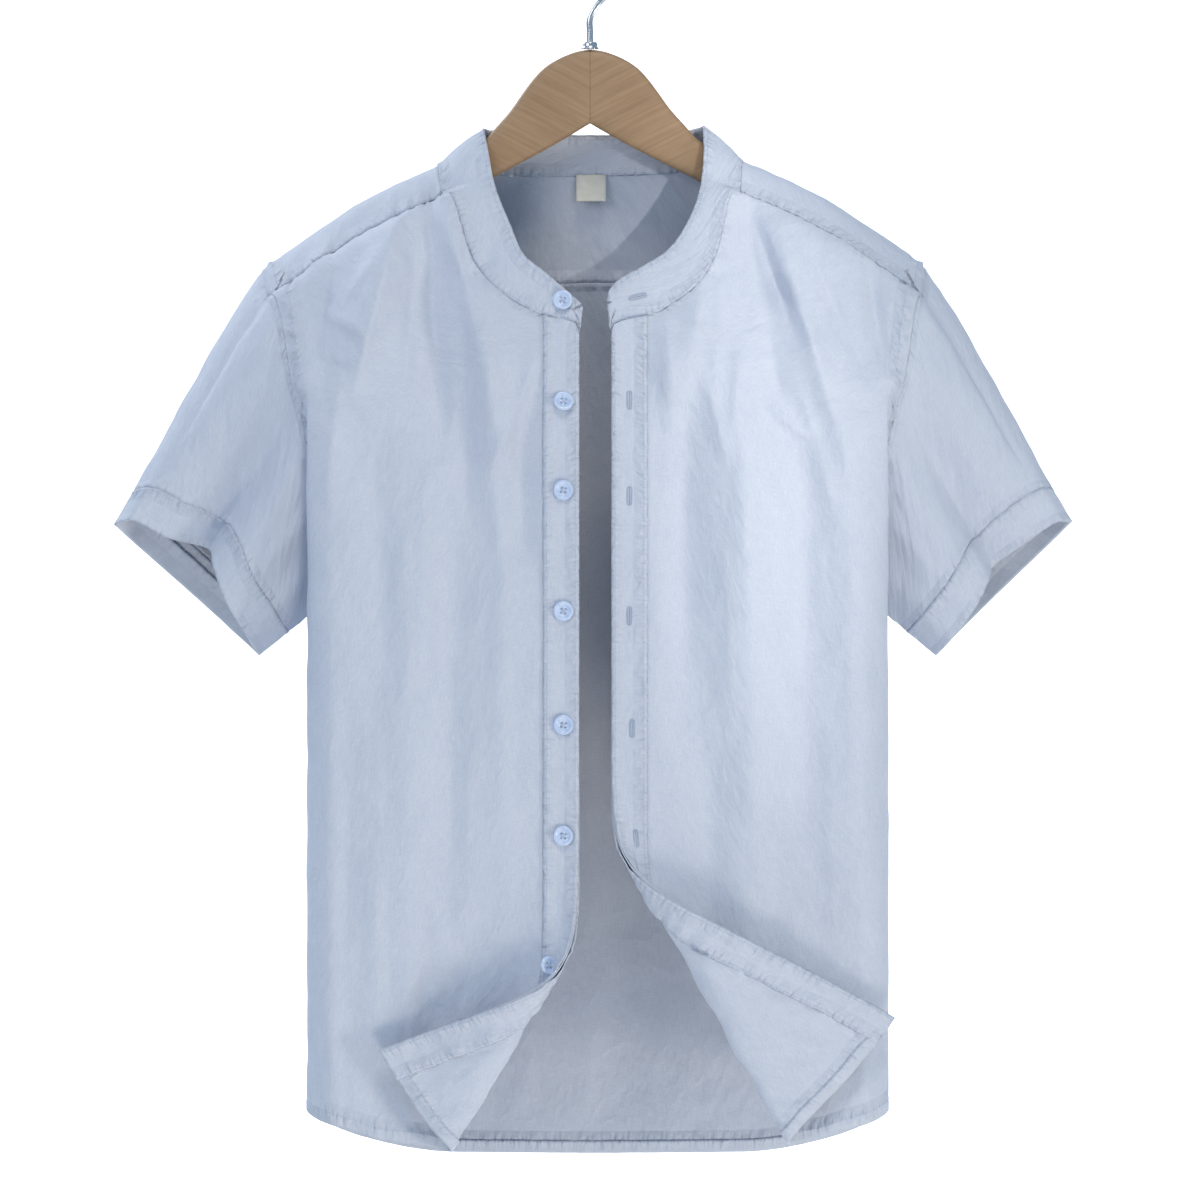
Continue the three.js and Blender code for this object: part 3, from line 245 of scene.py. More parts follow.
def frontPoint(name, level, across):
    # outer face of a front before its corner is turned up
    side = sides[name]
    level, across = np.broadcast_arrays(np.asarray(level, float), np.asarray(across, float))
    row = {key: at(level) for key, at in frontAt.items()}
    shift = shiftAt(lerp(row["innerZ"], row["outerZ"], across))
    edge = side["sign"] * (side["edgeX"] - shift)
    inner = lerp(row["innerOut"], edge, smooth(level - 4))
    corner = row["ridgeOut"] - frontMarks["reach"]
    placket = lerp(lerp(inner, corner, 0.16), edge + body["placketWidth"], smooth((level - 3.7) / 0.65))
    marks = [0, frontMarks["placket"], frontMarks["half"], frontMarks["corner"], frontMarks["ridge"], 1]
    outs = [inner, placket, lerp(placket, corner, 0.5), corner, row["ridgeOut"], row["outerOut"]]
    out = curve(marks, outs)(across)
    onFlat = across < frontMarks["corner"]
    way = np.where(onFlat, (out - inner) / (corner - inner) * frontMarks["corner"], across)
    straightZ = lerp(row["innerZ"], row["outerZ"], way)
    z = straightZ + smooth(level - 10) * (frontHemAt(way) - lerp(-866, -815, way))
    x = side["sign"] * out + shift
    z = z + (1 - smooth(level / 2.5)) * (ridgeZ(x) - body["yokeFrontDrop"] - straightZ)
    depths = [row["innerY"], row["midY"], row["cornerY"], row["ridgeY"], row["outerY"]]
    depth = curve([0, 0.36, frontMarks["corner"], frontMarks["ridge"], 1], depths)(way)
    inPanel = smooth(level / 0.8) * smooth((1 - across) / 0.12)
    calm = smooth((level - 5) / 0.5) * (1 - smooth(across * 24 - 2.5))
    # the folds fall from the yoke and die away down the front
    strength = side["folds"] * (1 - 0.48 * smooth((-z - 380) / 170))
    fold = strength * foldHeight(frontFolds[name], x, z) * inPanel * (1 - calm)
    return stack(x, depth - fold, z)


frontDepth = curve([0, 130, 183, 203, 230], [0, 0, 5, 22, 34])
# turned-up corners: the fold's edge in the front view, how much cloth lies in the roll at the
# hem end and at the placket end, and the two places along the fold between which that changes
curl = dict(planeY=-69.0, follow=0.7, crisp=0.55, flatten=0.62, sink=0.72)
curlLines = dict(
    right=dict(x=-70.0, z=-800.3, alongX=0.5145, alongZ=0.8575, hemRoll=35.0, edgeRoll=112.0,
               low=-50.0, high=140.0, liftX=3.0, liftZ=6.0, liftPast=75.0, reach=95.0),
    left=dict(x=117.5, z=-802.0, alongX=-0.502, alongZ=0.865, hemRoll=23.0, edgeRoll=88.0,
              low=-50.0, high=150.0, liftX=-7.0, liftZ=-8.0, liftPast=120.0, reach=120.0),
)
curlDips = dict(
    right=[(-150, -830, -20, -590, 34, -7), (-175, -800, -60, -560, 30, -3)],
    left=[(60, -560, 235, -800, 30, -7), (75, -520, 225, -760, 26, -2)],
)
rollShare = np.linspace(0, 1, 401)
rollTurn = np.pi * (rollShare - curl["crisp"] * np.sin(2 * np.pi * rollShare) / (2 * np.pi))
rollStep = rollShare[1]
rollOut = np.concatenate([[0], np.cumsum((np.cos(rollTurn[1:]) + np.cos(rollTurn[:-1])) * rollStep / 2)])
rollRise = np.concatenate([[0], np.cumsum((np.sin(rollTurn[1:]) + np.sin(rollTurn[:-1])) * rollStep / 2)])


def turnUp(name, points):
    # turns what lies past a corner's line up and over the front, in a roll that widens upward
    line, sign = curlLines[name], sides[name]["sign"]
    awayX, awayZ = -sign * line["alongZ"], sign * line["alongX"]
    x, y, z = points[..., 0], points[..., 1], points[..., 2]
    along = (x - line["x"]) * line["alongX"] + (z - line["z"]) * line["alongZ"]
    roll = lerp(line["hemRoll"], line["edgeRoll"], smooth((along - line["low"]) / (line["high"] - line["low"])))
    past = (x - line["x"]) * awayX + (z - line["z"]) * awayZ + rollOut[200] * roll
    share = np.clip(past / roll, 0, 1)
    turn = np.interp(share, rollShare, rollTurn)
    stand = y - curl["planeY"]
    out = roll * np.interp(share, rollShare, rollOut) + stand * np.sin(turn)
    out = np.where(past > roll, roll - past, out)
    newX, newZ = x + awayX * (out - past), z + awayZ * (out - past)
    # the turned-over cloth comes down from its fold toward its tip
    sunk = 1 - curl["sink"] * smooth((past - roll) / line["reach"] * 0.8)
    rise = np.interp(share, rollShare, rollRise) * curl["flatten"] * sunk
    newY = curl["planeY"] - roll * rise - 5.0 * (1 - sunk) + stand * np.cos(turn)
    lifted = np.clip((past - roll) / line["liftPast"], 0, 1.3) ** 1.5
    newX, newZ = newX + line["liftX"] * lifted, newZ + line["liftZ"] * lifted
    newY = newY + curl["follow"] * frontDepth(np.abs(newX - shiftAt(newZ))) * smooth((past - roll) / 40)
    turned = np.where((past > 0)[..., None], stack(newX, newY, newZ), points)
    # the panel dips before it swings out into the roll
    turned[..., 1] -= foldHeight(curlDips[name], turned[..., 0], turned[..., 2])
    return turned


# one entry for each level of the back, from the yoke seam down to the hem
backLevels = dict(
    level=range(9),
    centreY=[46, 52, 57, 61, 64, 66, 67, 67, 66],
    centreZ=[-240, -275, -315, -360, -410, -458, -540, -680, -857],
    cornerOut=[165, 172, 178, 180, 181, 181, 181, 181, 181],
    cornerY=[37, 46, 53, 58, 60, 61, 62, 62, 60],
    ridgeOut=[203, 204, 204, 203, 202, 201.5, 201.5, 202, 202],
    ridgeY=[31, 42, 49, 51, 46, 40, 38, 38, 36],
    outerOut=[229, 221, 211, 200, 190, 182, 188.7, 195.2, 197],
    outerY=[26, 38, 43, 38, 23, 6, 6, 6, 6],
    outerZ=[-260, -290, -325, -370, -420, -458, -535, -670, -815],
)
backAt = curves(backLevels, "level")
backHemAt = curve([0, 0.35, 0.62, 0.8, 1], [-857, -856, -840, -825, -815])


def backPoint(level, across):
    # outer face of the back; across runs from -1 at the right side to 1 at the left
    level, across = np.broadcast_arrays(np.asarray(level, float), np.asarray(across, float))
    row = {key: at(level) for key, at in backAt.items()}
    share = np.abs(across)
    straightZ = lerp(row["centreZ"], row["outerZ"], share**1.5)
    z = straightZ + smooth(level - 7) * (backHemAt(share) - lerp(-857, -815, share**1.5))
    marks = [0, 0.31, 0.62, 0.8, 1]
    outs = [0, row["cornerOut"] * 0.5, row["cornerOut"], row["ridgeOut"], row["outerOut"]]
    depths = [row["centreY"], lerp(row["centreY"], row["cornerY"], 0.25), row["cornerY"],
              row["ridgeY"], row["outerY"]]
    x = np.sign(across) * curve(marks, outs)(share) + shiftAt(z)
    inPanel = smooth(level / 0.8) * smooth((1 - share) / 0.15)
    y = curve(marks, depths)(share) + foldHeight(backFolds, x, z) * inPanel
    return stack(x, y, z)


backSeamAcross = np.linspace(-1, 1, 801)
backSeamLine = backPoint(0, backSeamAcross)


def backSeamPoint(x):
    return backPoint(0, np.interp(x, backSeamLine[:, 0], backSeamAcross))


def yokePoint(down, across):
    # across: 0 right armhole, 12 right neck corner, 24 left neck corner, 36 left armhole
    # down: 0 front seam, 3 shoulder line, 9 back seam
    down, across = np.broadcast_arrays(np.asarray(down, float), np.asarray(across, float))
    inNeck = (across > 12) & (across < 24)
    angle = np.pi * np.clip((across - 12) / 12, 0, 1)
    rise = np.sin(angle)
    neckX = -body["neckOut"] * np.cos(angle)
    level = lerp(ridgeZ(-body["neckOut"]), ridgeZ(body["neckOut"]), (neckX / body["neckOut"] + 1) / 2)
    neckTop = stack(neckX, body["neckBackY"] * rise, level - body["neckBackDrop"] * rise)
    neckEnd = backSeamPoint(neckX * body["seamReach"])
    share = np.clip(np.where(across <= 18, across, 36 - across) / 12, 0, 1)
    sign = np.where(across <= 18, -1.0, 1.0)
    frontEdge = np.where(
        (across <= 18)[..., None], frontPoint("right", 0, 1 - share), frontPoint("left", 0, 1 - share)
    )
    topX = sign * lerp(body["armholeTopOut"], body["neckOut"], share) + lerp(3, 0, share)
    sideTop = stack(topX, 0, ridgeZ(topX))
    endX = sign * lerp(229, body["neckOut"] * body["seamReach"], share) + lerp(4, 0, share)
    armEnd = np.where((sign < 0)[..., None], backPoint(0, -1.0), backPoint(0, 1.0))
    sideEnd = lerp(armEnd, backSeamPoint(endX), smooth(share / 0.04)[..., None])
    top = np.where(inNeck[..., None], neckTop, sideTop)
    end = np.where(inNeck[..., None], neckEnd, sideEnd)
    bend = np.where(inNeck, 0.5 + 0.25 * rise, 0.5)
    t = np.clip(1 - down / 3, 0, 1)
    frontHalf = stack(
        lerp(top[..., 0], frontEdge[..., 0], t * t),
        lerp(top[..., 1], frontEdge[..., 1], t),
        lerp(top[..., 2], frontEdge[..., 2], t * t),
    )
    q = np.clip((down - 3) / 6, 0, 1) ** 1.7
    backHalf = stack(
        lerp(top[..., 0], end[..., 0], q),
        lerp(top[..., 1], end[..., 1], q**bend),
        lerp(top[..., 2], end[..., 2], q),
    )
    return np.where((down < 3)[..., None], frontHalf, backHalf)


print("body shape ready")


# ---- sheets of cloth: a grid of points with the ways along and across it
class Sheet:
    def __init__(self, points, ring=False, inside=(0, 0, -500)):
        self.points, self.ring, self.keep = points, ring, None
        self.inside = np.array(inside, float)
        self.rows, self.cols = points.shape[:2]
        self.measure()

    def measure(self):
        p = self.points
        if self.ring:
            across = np.roll(p, -1, axis=1) - np.roll(p, 1, axis=1)
        else:
            across = np.gradient(p, axis=1)
        normal = unit(np.cross(across, np.gradient(p, axis=0)))
        outward = np.sum(normal * (p - self.inside))
        self.flip = outward < 0
        self.normals = normal * (-1 if self.flip else 1)
        rowStep = np.linalg.norm(np.diff(p, axis=0), axis=-1)
        colStep = np.linalg.norm(np.diff(p, axis=1), axis=-1)
        self.fromTop = np.vstack([np.zeros((1, self.cols)), np.cumsum(rowStep, axis=0)])
        self.fromStart = np.hstack([np.zeros((self.rows, 1)), np.cumsum(colStep, axis=1)])
        self.fromFoot = self.fromTop[-1:] - self.fromTop
        self.fromEnd = self.fromStart[:, -1:] - self.fromStart

    def away(self, edge):
        # distance from an edge, and the way along it
        top, start = self.fromTop, self.fromStart
        return dict(
            top=(top, start[:1] + 0 * top), foot=(self.fromFoot, start[-1:] + 0 * top),
            start=(start, top[:, :1] + 0 * top), end=(self.fromEnd, top[:, -1:] + 0 * top),
        )[edge]

    def push(self, height):
        self.points = self.points + self.normals * height[..., None]

    def at(self, row, col):
        # point and outward direction between grid points
        row, col = np.broadcast_arrays(np.asarray(row, float), np.asarray(col, float))
        row = np.clip(row, 0, self.rows - 1.001)
        col = col % self.cols if self.ring else np.clip(col, 0, self.cols - 1.001)
        j, i = np.floor(row).astype(int), np.floor(col).astype(int)
        following = (i + 1) % self.cols
        found = []
        for grid in (self.points, self.normals):
            near, far = [lerp(grid[k, i], grid[k, following], (col - i)[..., None]) for k in (j, j + 1)]
            found.append(lerp(near, far, (row - j)[..., None]))
        return found[0], unit(found[1])

    def line(self, edge, distance, last=math.inf):
        # points and directions at a distance from an edge, as far as a place along it
        away, along = self.away(edge)
        ends = edge in ("top", "foot")
        away, ways = (away.T, along[0]) if ends else (away, along[:, 0])
        order = 1 if edge in ("top", "start") else -1
        steps = np.arange(away.shape[1])
        spots = np.array([np.interp(distance, row[::order], steps[::order]) for row in away])
        places = np.flatnonzero(ways <= last)
        spots = spots[places]
        if self.ring and ends:
            spots, places = np.append(spots, spots[0]), np.append(places, self.cols)
        return self.at(spots, places) if ends else self.at(places, spots)


def evenly(place, low, high, step, tries=600):
    # values of a parameter that lie about one step apart on the surface
    values = np.linspace(low, high, tries)
    runs = np.mean([runOf(line) for line in place(values)], axis=0)
    count = max(2, int(round(runs[-1] / step)) + 1)
    return np.interp(np.linspace(0, runs[-1], count), runs, values)


def sew(sheet, seams, seed, farOff=60.0):
    # soft puckers, a raised or sunk border and the ways that the cloth's finish reads
    offs = np.full((sheet.rows, sheet.cols), farOff)
    alongs = np.zeros_like(offs)
    height = np.zeros_like(offs)
    for k, seam in enumerate(seams):
        away, along = sheet.away(seam["edge"])
        off = away - seam["stitch"]
        fade = smooth((seam["until"] - along) / 8) if "until" in seam else np.ones_like(away)
        if not sheet.ring or seam["edge"] in ("start", "end"):
            whole = along[:, -1:] if seam["edge"] in ("top", "foot") else along[-1:]
            calm = smooth(along / 12) * smooth((whole - along) / 12)
        else:
            calm = 1.0
        # the finish reads the nearest seam; each seam's gathers start at another place of its noise
        near = (off + farOff * (1 - fade)) < offs
        offs = np.where(near, off + farOff * (1 - fade), offs)
        alongs = np.where(near, along + 1000 * k, alongs)
        # a seam shared by two sheets waves by its place in space, so that both sheets move together
        ways, source = (sheet.points[..., seam["by"]], seam["shared"]) if "by" in seam else (along, seed + k)
        swing = wobble(ways / seam["wave"], source) + 0.6 * wobble(ways / seam["wave"] * 2.1 + 40, source + 50)
        strength = 0.55 + 0.45 * wobble(along / 45 + 7, seed + k + 90)
        band = np.exp(-(((away - 0.5 * seam["stitch"]) / seam["reach"]) ** 2))
        height += fade * calm * seam["pucker"] * strength * swing * band
        height += fade * seam["stand"] * (1 - smooth((away - seam["stitch"]) / 2.0))
        height -= fade * 0.25 * np.exp(-((off / 1.6) ** 2))
    sheet.push(height)
    sheet.seamOff = offs
    sheet.seamAlong = alongs
    sheet.measure()


def crumple(sheet, height, sizeAcross, sizeDown, seed, edge=6.0, byPlace=False):
    # small uneven creases over the whole sheet, calmer at its edges
    side, down = sheet.fromStart, sheet.fromTop
    if byPlace:
        side, down = sheet.points[..., 0] + 400, -sheet.points[..., 2]
    wave = ripple(side / sizeAcross + 5, down / sizeDown + 9, seed)
    fine = ripple(side / sizeAcross * 2.3 + 31, down / sizeDown * 1.9 + 3, seed + 1)
    nearest = np.minimum(sheet.fromTop, sheet.fromFoot)
    if not sheet.ring:
        nearest = np.minimum(nearest, np.minimum(sheet.fromStart, sheet.fromEnd))
    sheet.push(height * (wave + 0.45 * fine) * smooth(nearest / edge))
    sheet.measure()


def shadeSmooth(mesh):
    mesh.polygons.foreach_set("use_smooth", np.ones(len(mesh.polygons), bool))


def clothPiece(name, sheet, thick):
    # mesh with its UV map and seam ways, given its thickness by Solidify
    points = sheet.points.reshape(-1, 3) * mm
    index = np.arange(sheet.rows * sheet.cols).reshape(sheet.rows, sheet.cols)
    uvU, uvV = sheet.fromStart, sheet.fromTop
    if sheet.ring:
        index = np.hstack([index, index[:, :1]])
        uvU, uvV = np.hstack([uvU, uvU[:, -1:] + 2]), np.hstack([uvV, uvV[:, :1]])
    quads, uvs = [
        np.stack([grid[:-1, :-1], grid[:-1, 1:], grid[1:, 1:], grid[1:, :-1]], axis=2)
        for grid in (index, np.stack([uvU, -uvV], axis=-1) / 100)
    ]
    quads, uvs = quads.reshape(-1, 4), uvs.reshape(-1, 4, 2)
    if sheet.keep is not None:
        quads, uvs = quads[sheet.keep.reshape(-1)], uvs[sheet.keep.reshape(-1)]
    if sheet.flip:
        quads, uvs = quads[:, [0, 3, 2, 1]], uvs[:, [0, 3, 2, 1]]
    used, packed = np.unique(quads, return_inverse=True)
    mesh = bpy.data.meshes.new(name)
    mesh.from_pydata(points[used].tolist(), [], packed.reshape(-1, 4).tolist())
    mesh.uv_layers.new(name="cloth").data.foreach_set("uv", uvs.reshape(-1).astype(np.float32))
    for key, grid in (("seamOff", sheet.seamOff), ("seamAlong", sheet.seamAlong)):
        attribute = mesh.attributes.new(key, "FLOAT", "POINT")
        attribute.data.foreach_set("value", grid.reshape(-1)[used].astype(np.float32))
    shadeSmooth(mesh)
    obj = newObject(name, mesh)
    solidify = obj.modifiers.new("thickness", "SOLIDIFY")
    solidify.thickness = thick * mm
    solidify.offset = -1
    solidify.use_even_offset = False
    solidify.use_quality_normals = True
    corners = points[quads]
    area = np.linalg.norm(np.cross(corners[:, 2] - corners[:, 0], corners[:, 3] - corners[:, 1]), axis=-1).sum() / 2
    print(f"{name}: {len(quads)} quads, {area:.4f} square metres")
    return obj


# how far each row of stitches lies from its edge
stitchAt = dict(arm=9.0, hem=8.0, yoke=2.2, bandTop=1.8, bandFoot=3.0, cuff=1.6, placket=2.6,
                facing=0.9, hemTop=1.2, cuffFacing=1.4, label=1.2)
# seams that two sheets share: the axis along which they wave, and the waves' seed
frontYokeSeam, backYokeSeam, armSeam = dict(by=0, shared=901), dict(by=0, shared=902), dict(by=2, shared=903)


def bothEnds(**seam):
    return [dict(edge=edge, **seam) for edge in ("start", "end")]


# ---- fronts
fronts = {}
frontPiece = dict(step=2.0, thick=0.9, crumple=0.55, cornerCrumple=2.6)
for name, side in sides.items():
    levels = evenly(lambda v: [frontPoint(name, v, a) for a in (0.0, 0.3, 0.6, 1.0)], 0, 11, frontPiece["step"])
    across = evenly(lambda v: [frontPoint(name, lv, v) for lv in (0.0, 3.0, 6.0, 9.0)], 0, 1, frontPiece["step"])
    flat = Sheet(frontPoint(name, levels[:, None], across[None]), inside=(side["sign"] * 100, 400, -500))
    # the turned-up corners are creased more than the rest
    corner = smooth((-flat.points[..., 2] - 690) / 80) * (1 - smooth((np.abs(flat.points[..., 0]) - 110) / 50))
    crumple(flat, frontPiece["crumple"] * (1 + frontPiece["cornerCrumple"] * corner), 13, 26, seeds[name]["frontCreases"],
            edge=24, byPlace=True)
    sew(flat, [
        dict(edge="top", stitch=-1.5, pucker=1.9, wave=4.2, reach=12, stand=-0.5, **frontYokeSeam),
        dict(edge="start", stitch=-1.5, pucker=1.02, wave=6, reach=10, until=150, stand=-0.4),
        dict(edge="end", stitch=stitchAt["arm"], pucker=1.7, wave=4.0, reach=8, until=218, stand=0.35, **armSeam),
        dict(edge="foot", stitch=stitchAt["hem"], pucker=0.77, wave=6, reach=7, stand=0.4),
    ], seeds[name]["front"])
    flat.levels, flat.flatX = levels, flat.points[..., 0].copy()
    flat.points = turnUp(name, flat.points)
    flat.measure()
    fronts[name] = flat
print("fronts shaped")

# ---- back
backPiece = dict(step=2.9, thick=0.9, crumple=0.55)
backDown = evenly(lambda v: [backPoint(v, a) for a in (0.0, 0.4, 0.8)], 0, 8, backPiece["step"])
backAcross = evenly(lambda v: [backPoint(lv, v) for lv in (0.0, 4.0, 8.0)], -1, 1, backPiece["step"])
backSheet = Sheet(backPoint(backDown[:, None], backAcross[None]), inside=(0, -400, -500))
crumple(backSheet, backPiece["crumple"], 16, 30, 41, edge=14, byPlace=True)
sew(backSheet, [
    dict(edge="top", stitch=-1.5, pucker=1.6, wave=5.0, reach=10, stand=-0.5, **backYokeSeam),
    *bothEnds(stitch=stitchAt["arm"], pucker=1.5, wave=5.0, reach=7, until=215, stand=0.35, **armSeam),
    dict(edge="foot", stitch=stitchAt["hem"], pucker=0.77, wave=6, reach=7, stand=0.4),
], 151)

# ---- yoke
yokePiece = dict(stepDown=1.6, stepAcross=1.7, thick=0.9, crumple=0.4)
neckCorners = (12.0, 24.0)
yokeDown = evenly(lambda v: [yokePoint(v, a) for a in (4.0, 10.0, 26.0, 32.0)], 0, 9, yokePiece["stepDown"])
yokeDown[np.argmin(np.abs(yokeDown - 3))] = 3.0
yokeAcross = evenly(lambda v: [yokePoint(3.0, v), yokePoint(9.0, v)], 0, 36, yokePiece["stepAcross"])
for corner in neckCorners:
    yokeAcross[np.argmin(np.abs(yokeAcross - corner))] = corner
yokeSheet = Sheet(yokePoint(yokeDown[:, None], yokeAcross[None]), inside=(0, 0, -500))
middleDown, middleAcross = [0.5 * (ways[1:] + ways[:-1]) for ways in (yokeDown, yokeAcross)]
yokeSheet.keep = ~((middleDown[:, None] < 3) & (np.abs(middleAcross[None] - 18) < 6))
crumple(yokeSheet, yokePiece["crumple"], 10, 10, 61)
sew(yokeSheet, [
    dict(edge="top", stitch=stitchAt["yoke"], pucker=1.9, wave=4.2, reach=9, stand=0.45, **frontYokeSeam),
    dict(edge="foot", stitch=stitchAt["yoke"], pucker=1.6, wave=5.0, reach=9, stand=0.45, **backYokeSeam),
    *bothEnds(stitch=stitchAt["arm"], pucker=1.5, wave=4.0, reach=8, stand=0.35, **armSeam),
], 171)
print("back and yoke shaped")

# ---- collar band: its foot follows the neckline from the right front end round to the left
bandPiece = dict(step=1.6, thick=1.3, cornerRound=9.0, cornerDrop=0.22, bow=1.2, frontRows=90, yokeRows=20)
neckLevels = np.linspace(5, 0, bandPiece["frontRows"])
neckline = np.vstack([
    frontPoint("right", neckLevels, 0.0),
    yokePoint(np.linspace(0, 3, bandPiece["yokeRows"])[1:], neckCorners[0]),
    yokePoint(3.0, np.linspace(*neckCorners, 100)[1:-1]),
    yokePoint(np.linspace(3, 0, bandPiece["yokeRows"])[:-1], neckCorners[1]),
    frontPoint("left", neckLevels[::-1], 0.0),
])
neckRun = runOf(neckline)
shoulderRow = bandPiece["frontRows"] + bandPiece["yokeRows"] - 2
rightTopRun, leftTopRun = neckRun[shoulderRow], neckRun[len(neckline) - 1 - shoulderRow]
bandTops = dict(
    right=dict(
        share=[0, 0.196, 0.379, 0.563, 0.715, 0.821, 0.91, 1],
        x=[4.6, 28.7, 47, 56, 63.5, 68, 71.4, 75],
        y=[-53, -49, -43, -34, -26, -20, -13, 0],
        z=[-259, -238, -222, -201, -183, -168, -149.4, -132.3],
    ),
    left=dict(
        share=[0, 0.07, 0.196, 0.379, 0.563, 0.715, 0.821, 0.91, 1],
        x=[10.5, 18, 36.4, 55, 67.5, 74.5, 78, 79.8, 80],
        y=[-53, -52, -49, -43, -34, -26, -20, -13, 0],
        z=[-253, -243, -232, -219.5, -201.5, -185, -170, -147, -130.5],
    ),
)
bandTopAt = {name: curves(tops, "share") for name, tops in bandTops.items()}


def bandTopSide(name, share):
    at = bandTopAt[name]
    return stack(sides[name]["sign"] * at["x"](share), at["y"](share), at["z"](share))


def bandTopPoint(run):
    total = neckRun[-1]
    right = bandTopSide("right", run / rightTopRun)
    left = bandTopSide("left", (total - run) / (total - leftTopRun))
    share = np.clip((run - rightTopRun) / (leftTopRun - rightTopRun), 0, 1)
    half, rise = lerp(75, 80, share), np.sin(np.pi * share)
    behind = stack(-half * np.cos(np.pi * share), body["bandBackY"] * rise,
                   lerp(lerp(-132.3, -130.5, share), body["bandBackZ"], rise))
    side = np.where((run < 0.5 * total)[..., None], right, left)
    inBack = (run > rightTopRun) & (run < leftTopRun)
    return np.where(inBack[..., None], behind, side)


bandRuns = np.linspace(0, neckRun[-1], int(neckRun[-1] / bandPiece["step"]) + 1)
bandFoot = np.stack([np.interp(bandRuns, neckRun, neckline[:, k]) for k in range(3)], axis=-1)
bandTop = bandTopPoint(bandRuns)
toEnd = np.clip((neckRun[-1] - bandRuns) / bandPiece["cornerRound"], 0, 1)
rounding = 1 - bandPiece["cornerDrop"] * (1 - np.sqrt(np.clip(1 - (1 - toEnd) ** 2, 0, 1)))
bandShares = np.linspace(0, 1, 24)
bandPoints = bandFoot[None] + (bandTop - bandFoot)[None] * (bandShares[:, None] * rounding[None])[..., None]
bandSheet = Sheet(bandPoints, inside=(0, 0, -170))
bandSheet.push(bandPiece["bow"] * np.sin(np.pi * bandShares)[:, None] * np.ones((1, len(bandRuns))))
bandSheet.measure()
crumple(bandSheet, 0.16, 12, 9, 71, edge=4)
sew(bandSheet, [
    dict(edge="top", stitch=stitchAt["bandTop"], pucker=0.85, wave=4, reach=6, stand=0.5),
    dict(edge="foot", stitch=stitchAt["bandFoot"], pucker=0.9, wave=4, reach=7, stand=0.1),
    *bothEnds(stitch=3.0, pucker=0.17, wave=5, reach=4, stand=0.1),
], 191)
print("collar band shaped")

# ---- sleeves and cuffs: rings that start at the armhole and run to the hem
sleeveEnds = dict(
    right=dict(tip=(-335.3, -411.9), foot=(-232.4, -503.6)),
    left=dict(tip=(339.5, -409.8), foot=(242.9, -503.6)),
)
hemTurns = [0, 0.06, 0.14, 0.22, 0.27, 0.36, 0.44, 0.5, 0.6, 0.75, 0.9, 1]
sleeveHems = dict(
    right=dict(
        way=[0, 0.06, 0.25, 0.45, 0.51, 0.7, 0.89, 1, 0.85, 0.52, 0.16, 0],
        y=[0, -10, -7, 5, -18, -27, -20, 0, 24, 33, 24, 0],
        rise=[1, 12, 19, 32, 27, 13, 5, 0, 0, 0, 0, 1],
    ),
    left=dict(
        way=[0, 0.06, 0.25, 0.46, 0.52, 0.7, 0.89, 1, 0.85, 0.52, 0.16, 0],
        y=[0, -9, -7, 4, -17, -25, -19, 0, 23, 31, 23, 0],
        rise=[1, 8, 13, 17, 13, 5, 1, 0, 0, 0, 0, 1],
    ),
)
sleevePiece = dict(step=2.2, cuffStep=1.7, thick=0.9, cuff=27.0, cuffThick=1.4, head=4.0,
                   yokeRows=24, frontRows=160)
